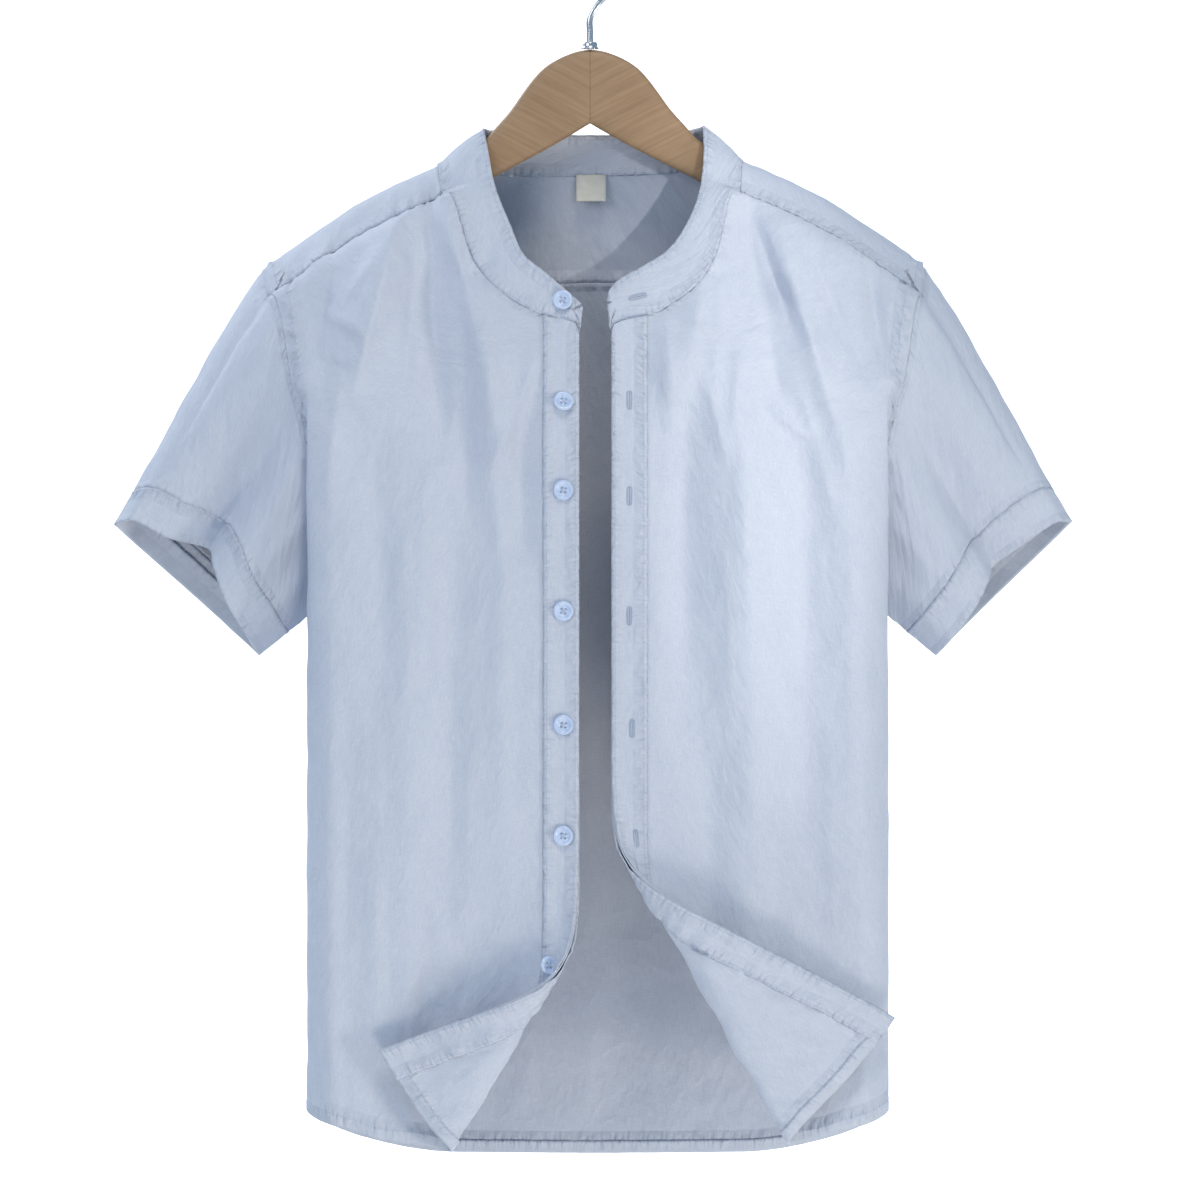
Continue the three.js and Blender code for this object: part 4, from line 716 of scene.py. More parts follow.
# share of the turn round the sleeve, how wide, how high, where along it is strongest
sleeveFolds = [
    (0.12, 0.035, 6.5, 0.5), (0.21, 0.03, -7.5, 0.5), (0.31, 0.04, 5.5, 0.5),
    (0.62, 0.04, -5.5, 0.5), (0.74, 0.045, 6.5, 0.5), (0.86, 0.04, -5.5, 0.5),
    (0.06, 0.018, -3.0, 0.3), (0.165, 0.018, 3.2, 0.35), (0.26, 0.02, -3.0, 0.4),
    (0.36, 0.018, 2.6, 0.35), (0.41, 0.02, -2.9, 0.3), (0.68, 0.02, 2.6, 0.4),
    (0.80, 0.02, -2.6, 0.4), (0.92, 0.02, 2.6, 0.35),
]
sleeves, cuffs = {}, {}
for name, side in sides.items():
    loop = np.vstack([
        yokePoint(np.linspace(3, 0, sleevePiece["yokeRows"])[:-1], side["yokeEdge"]),
        frontPoint(name, np.linspace(0, 7, sleevePiece["frontRows"]), 1.0),
        backPoint(np.linspace(5, 0, 150)[1:-1], side["sign"]),
        yokePoint(np.linspace(9, 3, 40), side["yokeEdge"]),
    ])
    run = runOf(loop)
    toLowest = run[sleevePiece["yokeRows"] + sleevePiece["frontRows"] - 2]
    count = int(run[-1] / sleevePiece["step"])
    runs = np.arange(count) * run[-1] / count
    armhole = np.stack([np.interp(runs, run, loop[:, k]) for k in range(3)], axis=-1)
    turn = np.where(runs <= toLowest, 0.5 * runs / toLowest, 0.5 + 0.5 * (runs - toLowest) / (run[-1] - toLowest))
    (tipX, tipZ), (footX, footZ) = sleeveEnds[name]["tip"], sleeveEnds[name]["foot"]
    way, hemY, hemRise = [curve(hemTurns, sleeveHems[name][key])(turn) for key in ("way", "y", "rise")]
    hemLength = math.hypot(footX - tipX, footZ - tipZ)
    upX, upZ = -side["sign"] * abs(footZ - tipZ) / hemLength, abs(footX - tipX) / hemLength
    hem = stack(lerp(tipX, footX, way) + upX * hemRise, hemY, lerp(tipZ, footZ, way) + upZ * hemRise)
    centre, hemCentre = armhole.mean(axis=0), hem.mean(axis=0)

    def sleevePoints(along):
        along = np.asarray(along, float)
        points = armhole[None] + (hem - armhole)[None] * along[..., None]
        middle = centre + (hemCentre - centre) * along[..., None]
        outward = unit(points - middle)
        lift = np.zeros(along.shape)
        for at, spread, height, peak in sleeveFolds:
            away = (turn[None] - at + 0.5) % 1 - 0.5
            swing = np.sin(np.pi * np.clip(along, 0, 1) ** (math.log(0.5) / math.log(peak)))
            lift += height * np.exp(-((away / spread) ** 2)) * swing
        lift *= 1 - 0.4 * along
        crown = np.maximum(0, np.cos(2 * np.pi * turn))[None] ** 2
        lift += sleevePiece["head"] * crown * 8 * along * (1 - along) ** 3
        return points + outward * lift[..., None]

    span = np.linalg.norm(hem - armhole, axis=-1)
    cuffStart = 1 - sleevePiece["cuff"] / span
    rows = int(np.mean(span * cuffStart) / sleevePiece["step"]) + 1
    shares = np.linspace(0, 1, rows)
    inside = lerp(centre, hemCentre, 0.5)
    sleeve = Sheet(sleevePoints(shares[:, None] * cuffStart[None]), ring=True, inside=inside)
    cuffRows = int(sleevePiece["cuff"] / sleevePiece["cuffStep"]) + 1
    cuffShares = np.linspace(0, 1, cuffRows)
    cuff = Sheet(
        sleevePoints(cuffStart[None] + (1 - cuffStart)[None] * cuffShares[:, None]),
        ring=True, inside=hemCentre,
    )
    crumple(sleeve, 0.5, 11, 18, seeds[name]["sleeveCreases"], edge=8)
    sew(sleeve, [
        dict(edge="top", stitch=-1.5, pucker=1.8, wave=4.0, reach=12, stand=-0.5, **armSeam),
        dict(edge="foot", stitch=-1.2, pucker=0.51, wave=7, reach=8, stand=-0.2),
    ], seeds[name]["sleeve"])
    crumple(cuff, 0.25, 9, 9, 85, edge=4)
    sew(cuff, [
        dict(edge="top", stitch=stitchAt["cuff"], pucker=0.59, wave=6, reach=6, stand=0.4),
        dict(edge="foot", stitch=-1.0, pucker=0.20, wave=6, reach=5, stand=0.1),
    ], seeds[name]["cuff"])
    sleeves[name], cuffs[name] = sleeve, cuff
print("sleeves and cuffs shaped")


# ---- plackets, facings and hems: strips that lie on the fronts and the back
def stripOn(sheet, rows, cols, lift, seams, seed):
    points, normals = sheet.at(rows, cols)
    strip = Sheet(points + normals * lift, inside=sheet.inside)
    strip.normals = normals
    sew(strip, seams, seed)
    strip.flip = sheet.flip
    return strip


def placketSpots(name, front, width, top, wide=15, topRows=12, reach=60):
    # grid places on a front between its free edge and a line at a width from it
    sign, edgeX = sides[name]["sign"], sides[name]["edgeX"]
    outs = np.linspace(0.0, width, wide)
    neckEnd = float(np.interp(top, front.levels, np.arange(front.rows)))
    rowsDown = np.arange(int(neckEnd) + 1, front.rows).astype(float)
    rows = np.zeros((topRows + len(rowsDown), wide))
    for k, out in enumerate(outs):
        edgeOuts = sign * (front.flatX[: int(neckEnd) + 2, 0] - edgeX)
        first = neckEnd
        if out > edgeOuts[-1] and top <= 5.01:
            first = float(np.interp(-out, -edgeOuts, np.arange(len(edgeOuts))))
        rows[:topRows, k] = np.linspace(min(first, neckEnd), rowsDown[0], topRows + 1)[:-1]
        rows[topRows:, k] = rowsDown
    cols = np.zeros_like(rows)
    for (j, k), row in np.ndenumerate(rows):
        low = min(int(row), front.rows - 2)
        spots = []
        for line in (low, low + 1):
            lineOuts = sign * (front.flatX[line, :reach] - edgeX)
            spots.append(np.interp(outs[k], lineOuts, np.arange(reach)))
        cols[j, k] = lerp(spots[0], spots[1], row - low)
    return rows, cols


placketPiece = dict(thick=0.9, lift=1.3, facing=0.7, facingOff=1.3, facingIn=1.0, bury=1.3)
plackets, facings, hems = {}, {}, {}
for name, front in fronts.items():
    rows, cols = placketSpots(name, front, body["placketWidth"], 5.0)
    plackets[name] = stripOn(front, rows, cols, placketPiece["lift"], [
        dict(edge="start", stitch=stitchAt["placket"], pucker=0.37, wave=6.5, reach=6, stand=0.1),
        dict(edge="end", stitch=stitchAt["placket"], pucker=0.42, wave=6.5, reach=6, stand=0.1),
    ], seeds[name]["placket"])
    rows, cols = placketSpots(name, front, body["placketWidth"] - placketPiece["facingIn"], 5.2)
    bury = placketPiece["bury"] * smooth((cols - cols[:, -3:-2]) / np.maximum(cols[:, -1:] - cols[:, -3:-2], 1e-6))
    facingLift = (-frontPiece["thick"] - placketPiece["facingOff"] + bury)[..., None]
    facings[name] = stripOn(front, rows, cols, facingLift, [
        dict(edge="start", stitch=stitchAt["placket"], pucker=1.3, wave=6.5, reach=12, stand=0.0),
        dict(edge="end", stitch=stitchAt["placket"], pucker=1.9, wave=6.5, reach=15, stand=0.0),
    ], 255)

hemPiece = dict(width=9.0, thick=0.8, bury=[0.85, 0.1, 0, 0, 0, 0, 0])


def hemStrip(sheet, thick, backOff):
    # narrow double-turned hem inside the foot of a sheet
    steps = np.arange(sheet.rows)
    highs = [np.interp(hemPiece["width"], sheet.fromFoot[::-1, i], steps[::-1]) for i in range(sheet.cols)]
    rows = np.array([np.linspace(high, sheet.rows - 1.001, len(hemPiece["bury"])) for high in highs]).T
    cols = np.clip(np.arange(sheet.cols)[None] + 0 * rows, 0.01, sheet.cols - 1.01)
    lift = -thick - backOff + np.array(hemPiece["bury"])[:, None, None]
    return stripOn(sheet, rows, cols, lift, [
        dict(edge="top", stitch=stitchAt["hemTop"], pucker=0.35, wave=4, reach=8, stand=0.0)], 271)


for name, front in fronts.items():
    hems[name] = hemStrip(front, frontPiece["thick"], 0.12)
hems["back"] = hemStrip(backSheet, backPiece["thick"], 0.1)
cuffFacingPiece = dict(thick=0.6, inside=1.75, fromRow=4)
cuffFacings = {}
for name, cuff in cuffs.items():
    points, normals = [grid[cuffFacingPiece["fromRow"]:] for grid in (cuff.points, cuff.normals)]
    cuffFacings[name] = Sheet(points - normals * cuffFacingPiece["inside"], ring=True, inside=cuff.inside)
    sew(cuffFacings[name], [
        dict(edge="top", stitch=stitchAt["cuffFacing"], pucker=0.25, wave=4, reach=6, stand=-0.2)], 275)
print("plackets, facings and hems shaped")

# pieces that stand for a node, and further pieces with the node whose cloth they belong to
objects = dict(
    back=clothPiece("backPanel", backSheet, backPiece["thick"]),
    yoke=clothPiece("yokePanel", yokeSheet, yokePiece["thick"]),
    collar_band=clothPiece("collarBand", bandSheet, bandPiece["thick"]),
)
extras = dict(backHem=("back", clothPiece("backHem", hems["back"], hemPiece["thick"])))
for name in sides:
    for part, sheet, thick in [
        ("front", fronts[name], frontPiece["thick"]), ("sleeve", sleeves[name], sleevePiece["thick"]),
        ("cuff", cuffs[name], sleevePiece["cuffThick"]), ("placket", plackets[name], placketPiece["thick"]),
    ]:
        objects[f"{name}_{part}"] = clothPiece(name + part.capitalize(), sheet, thick)
    for part, node, sheet, thick in [
        ("Facing", "front", facings[name], placketPiece["facing"]),
        ("Hem", "front", hems[name], hemPiece["thick"]),
        ("CuffFacing", "cuff", cuffFacings[name], cuffFacingPiece["thick"]),
    ]:
        extras[name + part] = (f"{name}_{node}", clothPiece(name + part, sheet, thick))


# ---- stitches: a tree that lays one stitch after another along a path
def stitchTree():
    tree = bpy.data.node_groups.new("row of stitches", "GeometryNodeTree")
    sockets = {}
    for name, kind, value in [
        ("Path", "Geometry", None), ("Pitch", "Float", 0.003), ("Length", "Float", 0.002),
        ("Width", "Float", 0.0004), ("Turn", "Float", 0.0), ("Thread", "Material", None),
    ]:
        socket = tree.interface.new_socket(name=name, in_out="INPUT", socket_type="NodeSocket" + kind)
        if value is not None:
            socket.default_value = value
        sockets[name] = socket.identifier
    tree.interface.new_socket(name="Stitches", in_out="OUTPUT", socket_type="NodeSocketGeometry")
    nodes = {name: tree.nodes.new(kind) for name, kind in dict(
        start="NodeGroupInput", end="NodeGroupOutput", toCurve="GeometryNodeMeshToCurve",
        resample="GeometryNodeResampleCurve", stitch="GeometryNodeMeshIcoSphere", size="ShaderNodeCombineXYZ",
        stretch="GeometryNodeTransform", up="GeometryNodeInputNamedAttribute", tangent="GeometryNodeInputTangent",
        stand="FunctionNodeAlignRotationToVector", follow="FunctionNodeAlignRotationToVector",
        place="GeometryNodeInstanceOnPoints", angle="ShaderNodeCombineXYZ", rotate="GeometryNodeRotateInstances",
        realize="GeometryNodeRealizeInstances", paint="GeometryNodeSetMaterial",
    ).items()}
    nodes["resample"].mode = "LENGTH"
    nodes["stitch"].inputs["Subdivisions"].default_value = 1
    nodes["stitch"].inputs["Radius"].default_value = 0.5
    nodes["up"].data_type = "FLOAT_VECTOR"
    nodes["up"].inputs["Name"].default_value = "up"
    nodes["stand"].axis, nodes["follow"].axis, nodes["follow"].pivot_axis = "Z", "X", "Z"
    for source, output, target, into in [
        ("start", "Path", "toCurve", "Mesh"), ("toCurve", "Curve", "resample", "Curve"),
        ("start", "Pitch", "resample", "Length"), ("start", "Length", "size", "X"),
        ("start", "Width", "size", "Y"), ("start", "Width", "size", "Z"),
        ("stitch", "Mesh", "stretch", "Geometry"), ("size", "Vector", "stretch", "Scale"),
        ("up", "Attribute", "stand", "Vector"), ("stand", "Rotation", "follow", "Rotation"),
        ("tangent", "Tangent", "follow", "Vector"), ("resample", "Curve", "place", "Points"),
        ("stretch", "Geometry", "place", "Instance"), ("follow", "Rotation", "place", "Rotation"),
        ("start", "Turn", "angle", "Z"), ("place", "Instances", "rotate", "Instances"),
        ("angle", "Vector", "rotate", "Rotation"), ("rotate", "Instances", "realize", "Geometry"),
        ("realize", "Geometry", "paint", "Geometry"), ("start", "Thread", "paint", "Material"),
        ("paint", "Geometry", "end", "Stitches"),
    ]:
        tree.links.new(nodes[source].outputs[output], nodes[target].inputs[into])
    return tree, sockets


stitchNodes, stitchSockets = stitchTree()


def stitchRow(name, paths, pitch, length, width, material, turn=0.0, closed=False):
    # paths: points and directions in millimetres; the result is a plain mesh
    verts, edges, ups = [], [], []
    for points, normals in paths:
        first = len(verts)
        verts += (points * mm).tolist()
        ups += normals.tolist()
        edges += [(first + k, first + k + 1) for k in range(len(points) - 1)]
        if closed:
            edges.append((first + len(points) - 1, first))
    mesh = bpy.data.meshes.new(name + "Path")
    mesh.from_pydata(verts, edges, [])
    attribute = mesh.attributes.new("up", "FLOAT_VECTOR", "POINT")
    attribute.data.foreach_set("vector", np.array(ups, np.float32).reshape(-1))
    obj = newObject(name, mesh)
    modifier = obj.modifiers.new("stitches", "NODES")
    modifier.node_group = stitchNodes
    for socket, value in dict(Pitch=pitch * mm, Length=length * mm, Width=width * mm, Turn=turn,
                              Thread=material).items():
        modifier[stitchSockets[socket]] = value
    made = bpy.data.meshes.new_from_object(obj.evaluated_get(bpy.context.evaluated_depsgraph_get()))
    obj.modifiers.remove(modifier)
    obj.data = made
    made.name = name
    if "up" in made.attributes:
        made.attributes.remove(made.attributes["up"])
    if not len(made.materials):
        made.materials.append(material)
    shadeSmooth(made)
    print(f"{name}: {len(made.polygons)} faces")
    return obj


# ---- shader maths: a socket that can be added, multiplied and so on
class Wire:
    def __init__(self, nodes, socket):
        self.nodes, self.socket = nodes, socket

    def maths(self, operation, other=None, swap=False):
        values = [self, other] if other is not None else [self]
        if swap:
            values.reverse()
        return self.nodes.add("ShaderNodeMath", dict(operation=operation), dict(enumerate(values)))

    def __add__(self, other): return self.maths("ADD", other)
    def __radd__(self, other): return self.maths("ADD", other)
    def __sub__(self, other): return self.maths("SUBTRACT", other)
    def __rsub__(self, other): return self.maths("SUBTRACT", other, swap=True)
    def __mul__(self, other): return self.maths("MULTIPLY", other)
    def __truediv__(self, other): return self.maths("DIVIDE", other)
    def __abs__(self): return self.maths("ABSOLUTE")
    def above(self, other): return self.maths("MAXIMUM", other)
    def below(self, other): return self.maths("MINIMUM", other)


class Finish:
    def __init__(self, name):
        self.material = bpy.data.materials.new(name)
        self.material.use_nodes = True
        self.tree = self.material.node_tree
        self.shader = self.tree.nodes["Principled BSDF"]

    def add(self, kind, settings=None, values=None, out=0):
        node = self.tree.nodes.new(kind)
        for key, value in (settings or {}).items():
            setattr(node, key, value)
        for key, value in (values or {}).items():
            self.feed(node.inputs[key], value)
        return Wire(self, node.outputs[out])

    def feed(self, socket, value):
        if isinstance(value, Wire):
            self.tree.links.new(value.socket, socket)
        else:
            socket.default_value = value

    def set(self, **values):
        for key, value in values.items():
            self.feed(self.shader.inputs[key.replace("_", " ")], value)

    def mix(self, factor, first, second):
        # mixes two colours; a plain one is given its alpha here
        first, second = [c if isinstance(c, Wire) else (*c, 1) for c in (first, second)]
        return self.add("ShaderNodeMix", dict(data_type="RGBA"), {0: factor, 6: first, 7: second}, out=2)

    def place(self):
        return self.add("ShaderNodeTexCoord", out=3)

    def noise(self, vector, scale, detail=2.0, rough=0.5):
        return self.add("ShaderNodeTexNoise", {}, dict(Vector=vector, Scale=scale, Detail=detail, Roughness=rough))

    def bands(self, vector, way, scale, distortion, detail=2.0):
        return self.add("ShaderNodeTexWave", dict(wave_type="BANDS", bands_direction=way), dict(
            Vector=vector, Scale=scale, Distortion=distortion, Detail=detail))

    def mapping(self, vector, scale=(1, 1, 1), turn=(0, 0, 0)):
        return self.add("ShaderNodeMapping", {}, dict(Vector=vector, Scale=scale, Rotation=turn))

    def bump(self, height, strength, distance, normal=None):
        values = dict(Height=height, Strength=strength, Distance=distance)
        if normal is not None:
            values["Normal"] = normal
        return self.add("ShaderNodeBump", {}, values)


# seam is the deep blue of the painted shade that runs along the stitch lines
linen = dict(light=(0.665, 0.70, 0.785), dark=(0.515, 0.56, 0.665), seam=(0.22, 0.31, 0.50), rough=0.88, sheen=0.10,
             threads=70.0)


def linenFinish(name, light, dark):
    finish = Finish(name)
    uv = finish.add("ShaderNodeUVMap", dict(uv_map="cloth"))
    # threads lie every 0.45 mm; the UV map's unit is 100 mm
    warp, weft = [finish.bands(uv, way, linen["threads"], 1.6) for way in ("X", "Y")]
    slubAcross = finish.noise(finish.mapping(uv, scale=(14, 180, 1)), 1.0, 3.0, 0.6)
    slubDown = finish.noise(finish.mapping(uv, scale=(180, 12, 1)), 1.0, 3.0, 0.6)
    cloud = finish.noise(finish.mapping(uv, scale=(6, 3, 1)), 1.0, 3.0, 0.55)
    speck = finish.noise(finish.mapping(uv, scale=(90, 90, 1)), 1.0, 2.0, 0.5)
    slub = slubAcross + slubDown
    shade = 0.5 + (slub - 1.0) * 1.25 + (cloud - 0.5) * 0.5 + (speck - 0.5) * 0.8
    colour = finish.mix(shade.above(0.0).below(1.0), dark, light)
    height = (warp + weft) * 0.25 + slub * 0.9 + speck * 0.5
    # how far the nearest seam is, and the way along it, in millimetres
    off = finish.add("ShaderNodeAttribute", dict(attribute_name="seamOff"), out=2)
    along = finish.add("ShaderNodeAttribute", dict(attribute_name="seamAlong"), out=2)
    # painted shade: the cloth is darkened toward deep blue along each stitch line, where shade lies in the seam's
    # groove; the groove is also cut into the bump
    line = 1 - (abs(off) / 0.55).below(1.0)
    colour = finish.mix(line * 0.34, colour, linen["seam"])
    height = height - line * 1.2
    spread = finish.add("ShaderNodeCombineXYZ", {}, dict(X=along * 0.27, Y=off * 0.07))
    nearSeam = 1 - (abs(off) / 7.5).below(1.0)
    gather = finish.noise(spread, 1.0, 1.0, 0.5) * nearSeam
    normal = finish.bump(gather, 0.9, 0.0042)
    crinkle = finish.noise(finish.mapping(uv, scale=(7, 4.5, 1)), 1.0, 2.0, 0.5)
    crease = 1 - abs(crinkle * 2 - 1)
    normal = finish.bump(crease, 0.3, 0.0035, normal)
    normal = finish.bump(height, 0.26, 0.0005, normal)
    finish.set(Base_Color=colour, Roughness=linen["rough"], Normal=normal, Sheen_Weight=linen["sheen"],
               Sheen_Roughness=0.5, Specular_IOR_Level=0.2)
    return finish.material


clothMaterial = linenFinish("pale linen", linen["light"], linen["dark"])
for obj in [*objects.values(), *[extra for node, extra in extras.values()]]:
    obj.data.materials.append(clothMaterial)
print("cloth finished")


# ---- thread and seams
def threadFinish(name, dark, light):
    finish = Finish(name)
    twist = finish.noise(finish.place(), 900.0, 2.0)
    finish.set(Base_Color=finish.mix(twist, dark, light), Roughness=0.7, Normal=finish.bump(twist, 0.4, 0.0002))
    return finish.material


def lifted(line, height):
    points, normals = line
    return points + normals * height, normals


thread = threadFinish("pale thread", (0.46, 0.53, 0.68), (0.66, 0.72, 0.85))
holeThread = threadFinish("buttonhole thread", (0.37, 0.44, 0.58), (0.52, 0.59, 0.73))
stitch = dict(pitch=2.7, length=2.0, width=0.42, sink=0.02)
armEnd = 205  # armhole stitches of the fronts and the back stop here, short of the sleeve's foot
# name, node, sheet, edges with the distance of the stitches and where they stop, and how high they lie
seamRows = [
    ("back", "back", backSheet, [("start", stitchAt["arm"], armEnd), ("end", stitchAt["arm"], armEnd),
                                 ("foot", stitchAt["hem"])], stitch["sink"]),
    ("collar", "collar_band", bandSheet, [("top", stitchAt["bandTop"]), ("foot", stitchAt["bandFoot"])],
     stitch["sink"]),
    ("yoke", "yoke", yokeSheet, [("foot", stitchAt["yoke"]), ("start", stitchAt["arm"]), ("end", stitchAt["arm"])],
     stitch["sink"]),
    ("backHem", "back", hems["back"], [("top", stitchAt["hemTop"])], -hemPiece["thick"] - stitch["sink"]),
]
for name in sides:
    seamRows += [
        (f"{name}Front", f"{name}_front", fronts[name], [("end", stitchAt["arm"], armEnd), ("foot", stitchAt["hem"])],
         stitch["sink"]),
        (f"{name}Cuff", f"{name}_cuff", cuffs[name], [("top", stitchAt["cuff"])], stitch["sink"]),
        (f"{name}Placket", f"{name}_placket", plackets[name],
         [("start", stitchAt["placket"]), ("end", stitchAt["placket"])], stitch["sink"]),
        (f"{name}Facing", f"{name}_front", facings[name], [("end", stitchAt["facing"])],
         -placketPiece["facing"] - stitch["sink"]),
        (f"{name}Hem", f"{name}_front", hems[name], [("top", stitchAt["hemTop"])],
         -hemPiece["thick"] - stitch["sink"]),
        (f"{name}CuffFacing", f"{name}_cuff", cuffFacings[name], [("top", stitchAt["cuffFacing"])],
         -cuffFacingPiece["thick"] - stitch["sink"]),
    ]
for name, node, sheet, edges, height in seamRows:
    paths = [lifted(sheet.line(*edge), height) for edge in edges]
    if node == "yoke":
        # its front seam runs in two parts, with the neck between them
        points, normals = lifted(sheet.line("top", stitchAt["yoke"]), height)
        neckStart, neckEnd = [int(np.argmin(np.abs(yokeAcross - at))) for at in neckCorners]
        paths += [(points[part], normals[part]) for part in (slice(neckStart), slice(neckEnd + 1, None))]
    name += "Stitches"
    extras[name] = (node, stitchRow(name, paths, stitch["pitch"], stitch["length"], stitch["width"], thread))

# ---- buttonholes: a ring of close stitches round a narrow slit
buttonhole = dict(length=13.4, width=3.7, bar=1.5, pitch=0.62, thread=0.5, lift=0.14, turns=40, slitSpots=9)
# slit: its dark and light colours are painted shadow in the cut, laid as a row of short dark bits along the middle of
# each buttonhole
slit = dict(pitch=0.7, length=1.4, width=0.4, dark=(0.15, 0.19, 0.28), light=(0.23, 0.28, 0.39))


def holeRing(sheet, row, col, turn=0.0, side=1, lift=buttonhole["lift"]):
    # stadium-shaped ring and its slit, laid on a sheet; turn 0 runs down the sheet
    halfLength, halfWidth = (buttonhole["length"] - buttonhole["width"]) / 2, (buttonhole["width"] - 0.8) / 2
    angles = np.linspace(0, 2 * np.pi, buttonhole["turns"], endpoint=False)
    down = halfLength * np.sign(np.cos(angles)) * np.minimum(1, np.abs(np.cos(angles)) * 3)
    down = down + halfWidth * np.cos(angles)
    across = halfWidth * np.sin(angles)
    centre, normal = sheet.at(row, col)
    nextRow, _ = sheet.at(row + 1.0, col)
    alongDown = unit(nextRow - centre)
    alongAcross = unit(np.cross(alongDown, normal))
    turned = math.cos(turn) * alongDown + math.sin(turn) * alongAcross
    sideways = np.cross(turned, normal)
    ring = centre + down[:, None] * turned + across[:, None] * sideways + normal * side * lift
    shares = np.linspace(-1, 1, buttonhole["slitSpots"])
    middle = np.array([centre + s * halfLength * turned + normal * side * lift for s in shares])
    return [(line, np.repeat(normal[None] * side, len(line), axis=0)) for line in (ring, middle)]


def spotOn(sheet, target):
    # grid place whose point shows nearest to a place in the front view
    gap = (sheet.points[..., 0] - target[0]) ** 2 + (sheet.points[..., 2] - target[1]) ** 2
    return np.unravel_index(np.argmin(gap), gap.shape)


placketHoles = [(27.6, -324.4), (27.6, -392.3), (27.6, -475.6), (28.7, -553.3), (31.5, -631.0)]
holes = [(plackets["left"], target, {}) for target in placketHoles]
holes += [(bandSheet, (33.5, -253.8), dict(turn=math.radians(90))),
          (facings["left"], (77.4, -707.3), dict(side=-1, lift=placketPiece["facing"] + 0.2))]
rings, slitShadows = zip(*[holeRing(sheet, *spotOn(sheet, target), **how) for sheet, target, how in holes])
extras["buttonholes"] = ("left_placket", stitchRow(
    "buttonholes", rings, buttonhole["pitch"], buttonhole["bar"], buttonhole["thread"], holeThread,
    turn=math.radians(90), closed=True))


# painted shadow: dark bluish bits stand for the shade inside each buttonhole's cut
def slitShadowFinish():
    finish = Finish("painted slit shadow")
    finish.set(Base_Color=finish.mix(finish.noise(finish.place(), 600.0), slit["dark"], slit["light"]), Roughness=0.95)
    return finish.material


extras["buttonholeSlitShadows"] = ("left_placket", stitchRow(
    "buttonholeSlitShadows", slitShadows, slit["pitch"], slit["length"], slit["width"], slitShadowFinish()))
print("stitches laid")


# ---- buttons
def buttonFinish():
    finish = Finish("button shell")
    place = finish.place()
    cloud = finish.noise(finish.mapping(place, scale=(160, 160, 160)), 1.0, 3.0, 0.55)
    fine = finish.noise(place, 1500.0, 2.0)
    finish.set(
        Base_Color=finish.mix(cloud, (0.47, 0.58, 0.82), (0.70, 0.80, 0.97)),
        Roughness=0.18 + fine * 0.10, Normal=finish.bump(cloud, 0.08, 0.0004), Coat_Weight=0.6,
        Coat_Roughness=0.08, Subsurface_Weight=0.15, Subsurface_Radius=(0.002, 0.002, 0.003))
    return finish.material


shell = buttonFinish()
# profile: from the back centre round the rim to the edge of the well
button = dict(
    floor=1.3, holeFoot=0.25, hole=0.85, spacing=1.75, turns=48,
    profile=[(0.0, 0.0), (5.6, 0.0), (6.5, 0.25), (6.95, 0.8), (7.0, 1.3), (6.8, 1.9), (6.3, 2.25),
             (5.7, 2.3), (5.1, 2.15), (4.6, 1.75), (4.2, 1.42), (3.9, 1.3)],
)


def ringQuads(rows, turns, first=0):
    # faces between closed rows of points that follow each other
    return [(first + a, first + b, first + b + turns, first + a + turns)
            for j in range(rows - 1) for k in range(turns)
            for a, b in [(j * turns + k, j * turns + (k + 1) % turns)]]


def buttonMesh():
    count, profile = button["turns"], button["profile"]
    verts = [(0.0, 0.0, 0.0)]
    for radius, height in profile[1:]:
        for k in range(count):
            angle = 2 * math.pi * k / count
            verts.append((radius * math.cos(angle), radius * math.sin(angle), height))
    faces = [(0, 1 + (k + 1) % count, 1 + k) for k in range(count)] + ringQuads(len(profile) - 1, count, first=1)
    # the floor: four quarters, each a fan of quads from its hole out to the well's edge
    lastRing = 1 + (len(profile) - 2) * count
    quarter = count // 4
    middleSpot = len(verts)
    verts.append((0.0, 0.0, button["floor"]))
    for q in range(4):
        angle = math.pi / 4 + q * math.pi / 2
        holeX, holeY = button["spacing"] * math.cos(angle), button["spacing"] * math.sin(angle)
        outline = [lastRing + (q * quarter + k) % count for k in range(quarter + 1)] + [middleSpot]
        top = len(verts)
        for index in outline:
            x, y = verts[index][0] - holeX, verts[index][1] - holeY
            share = math.hypot(x, y)
            verts.append((holeX + button["hole"] * x / share, holeY + button["hole"] * y / share, button["floor"]))
        foot = len(verts)
        verts += [(x, y, button["holeFoot"]) for x, y, z in verts[top:foot]]
        base = len(verts)
        verts.append((holeX, holeY, button["holeFoot"]))
        for k in range(len(outline)):
            after = (k + 1) % len(outline)
            faces += [(outline[k], outline[after], top + after, top + k),
                      (top + k, top + after, foot + after, foot + k), (foot + k, foot + after, base)]
    return verts, faces


def smoothMesh(name, verts, faces, material, scale=mm):
    mesh = bpy.data.meshes.new(name)
    mesh.from_pydata((np.array(verts) * scale).tolist(), [], faces)
    mesh.validate()
    shadeSmooth(mesh)
    mesh.materials.append(material)
    return newObject(name, mesh)


def placedMesh(name, verts, faces, centre, normal, material):
    # round piece whose back lies on a surface
    side = unit(np.cross(normal, np.array([0.13, 0.0, 1.0])))
    local = np.array(verts)
    world = centre + local[:, :1] * side + local[:, 1:2] * np.cross(normal, side) + local[:, 2:3] * normal
    return smoothMesh(name, world, faces, material)


cross = dict(reach=1.95, apart=0.28, radius=0.26, arch=0.35, steps=11, turns=6)


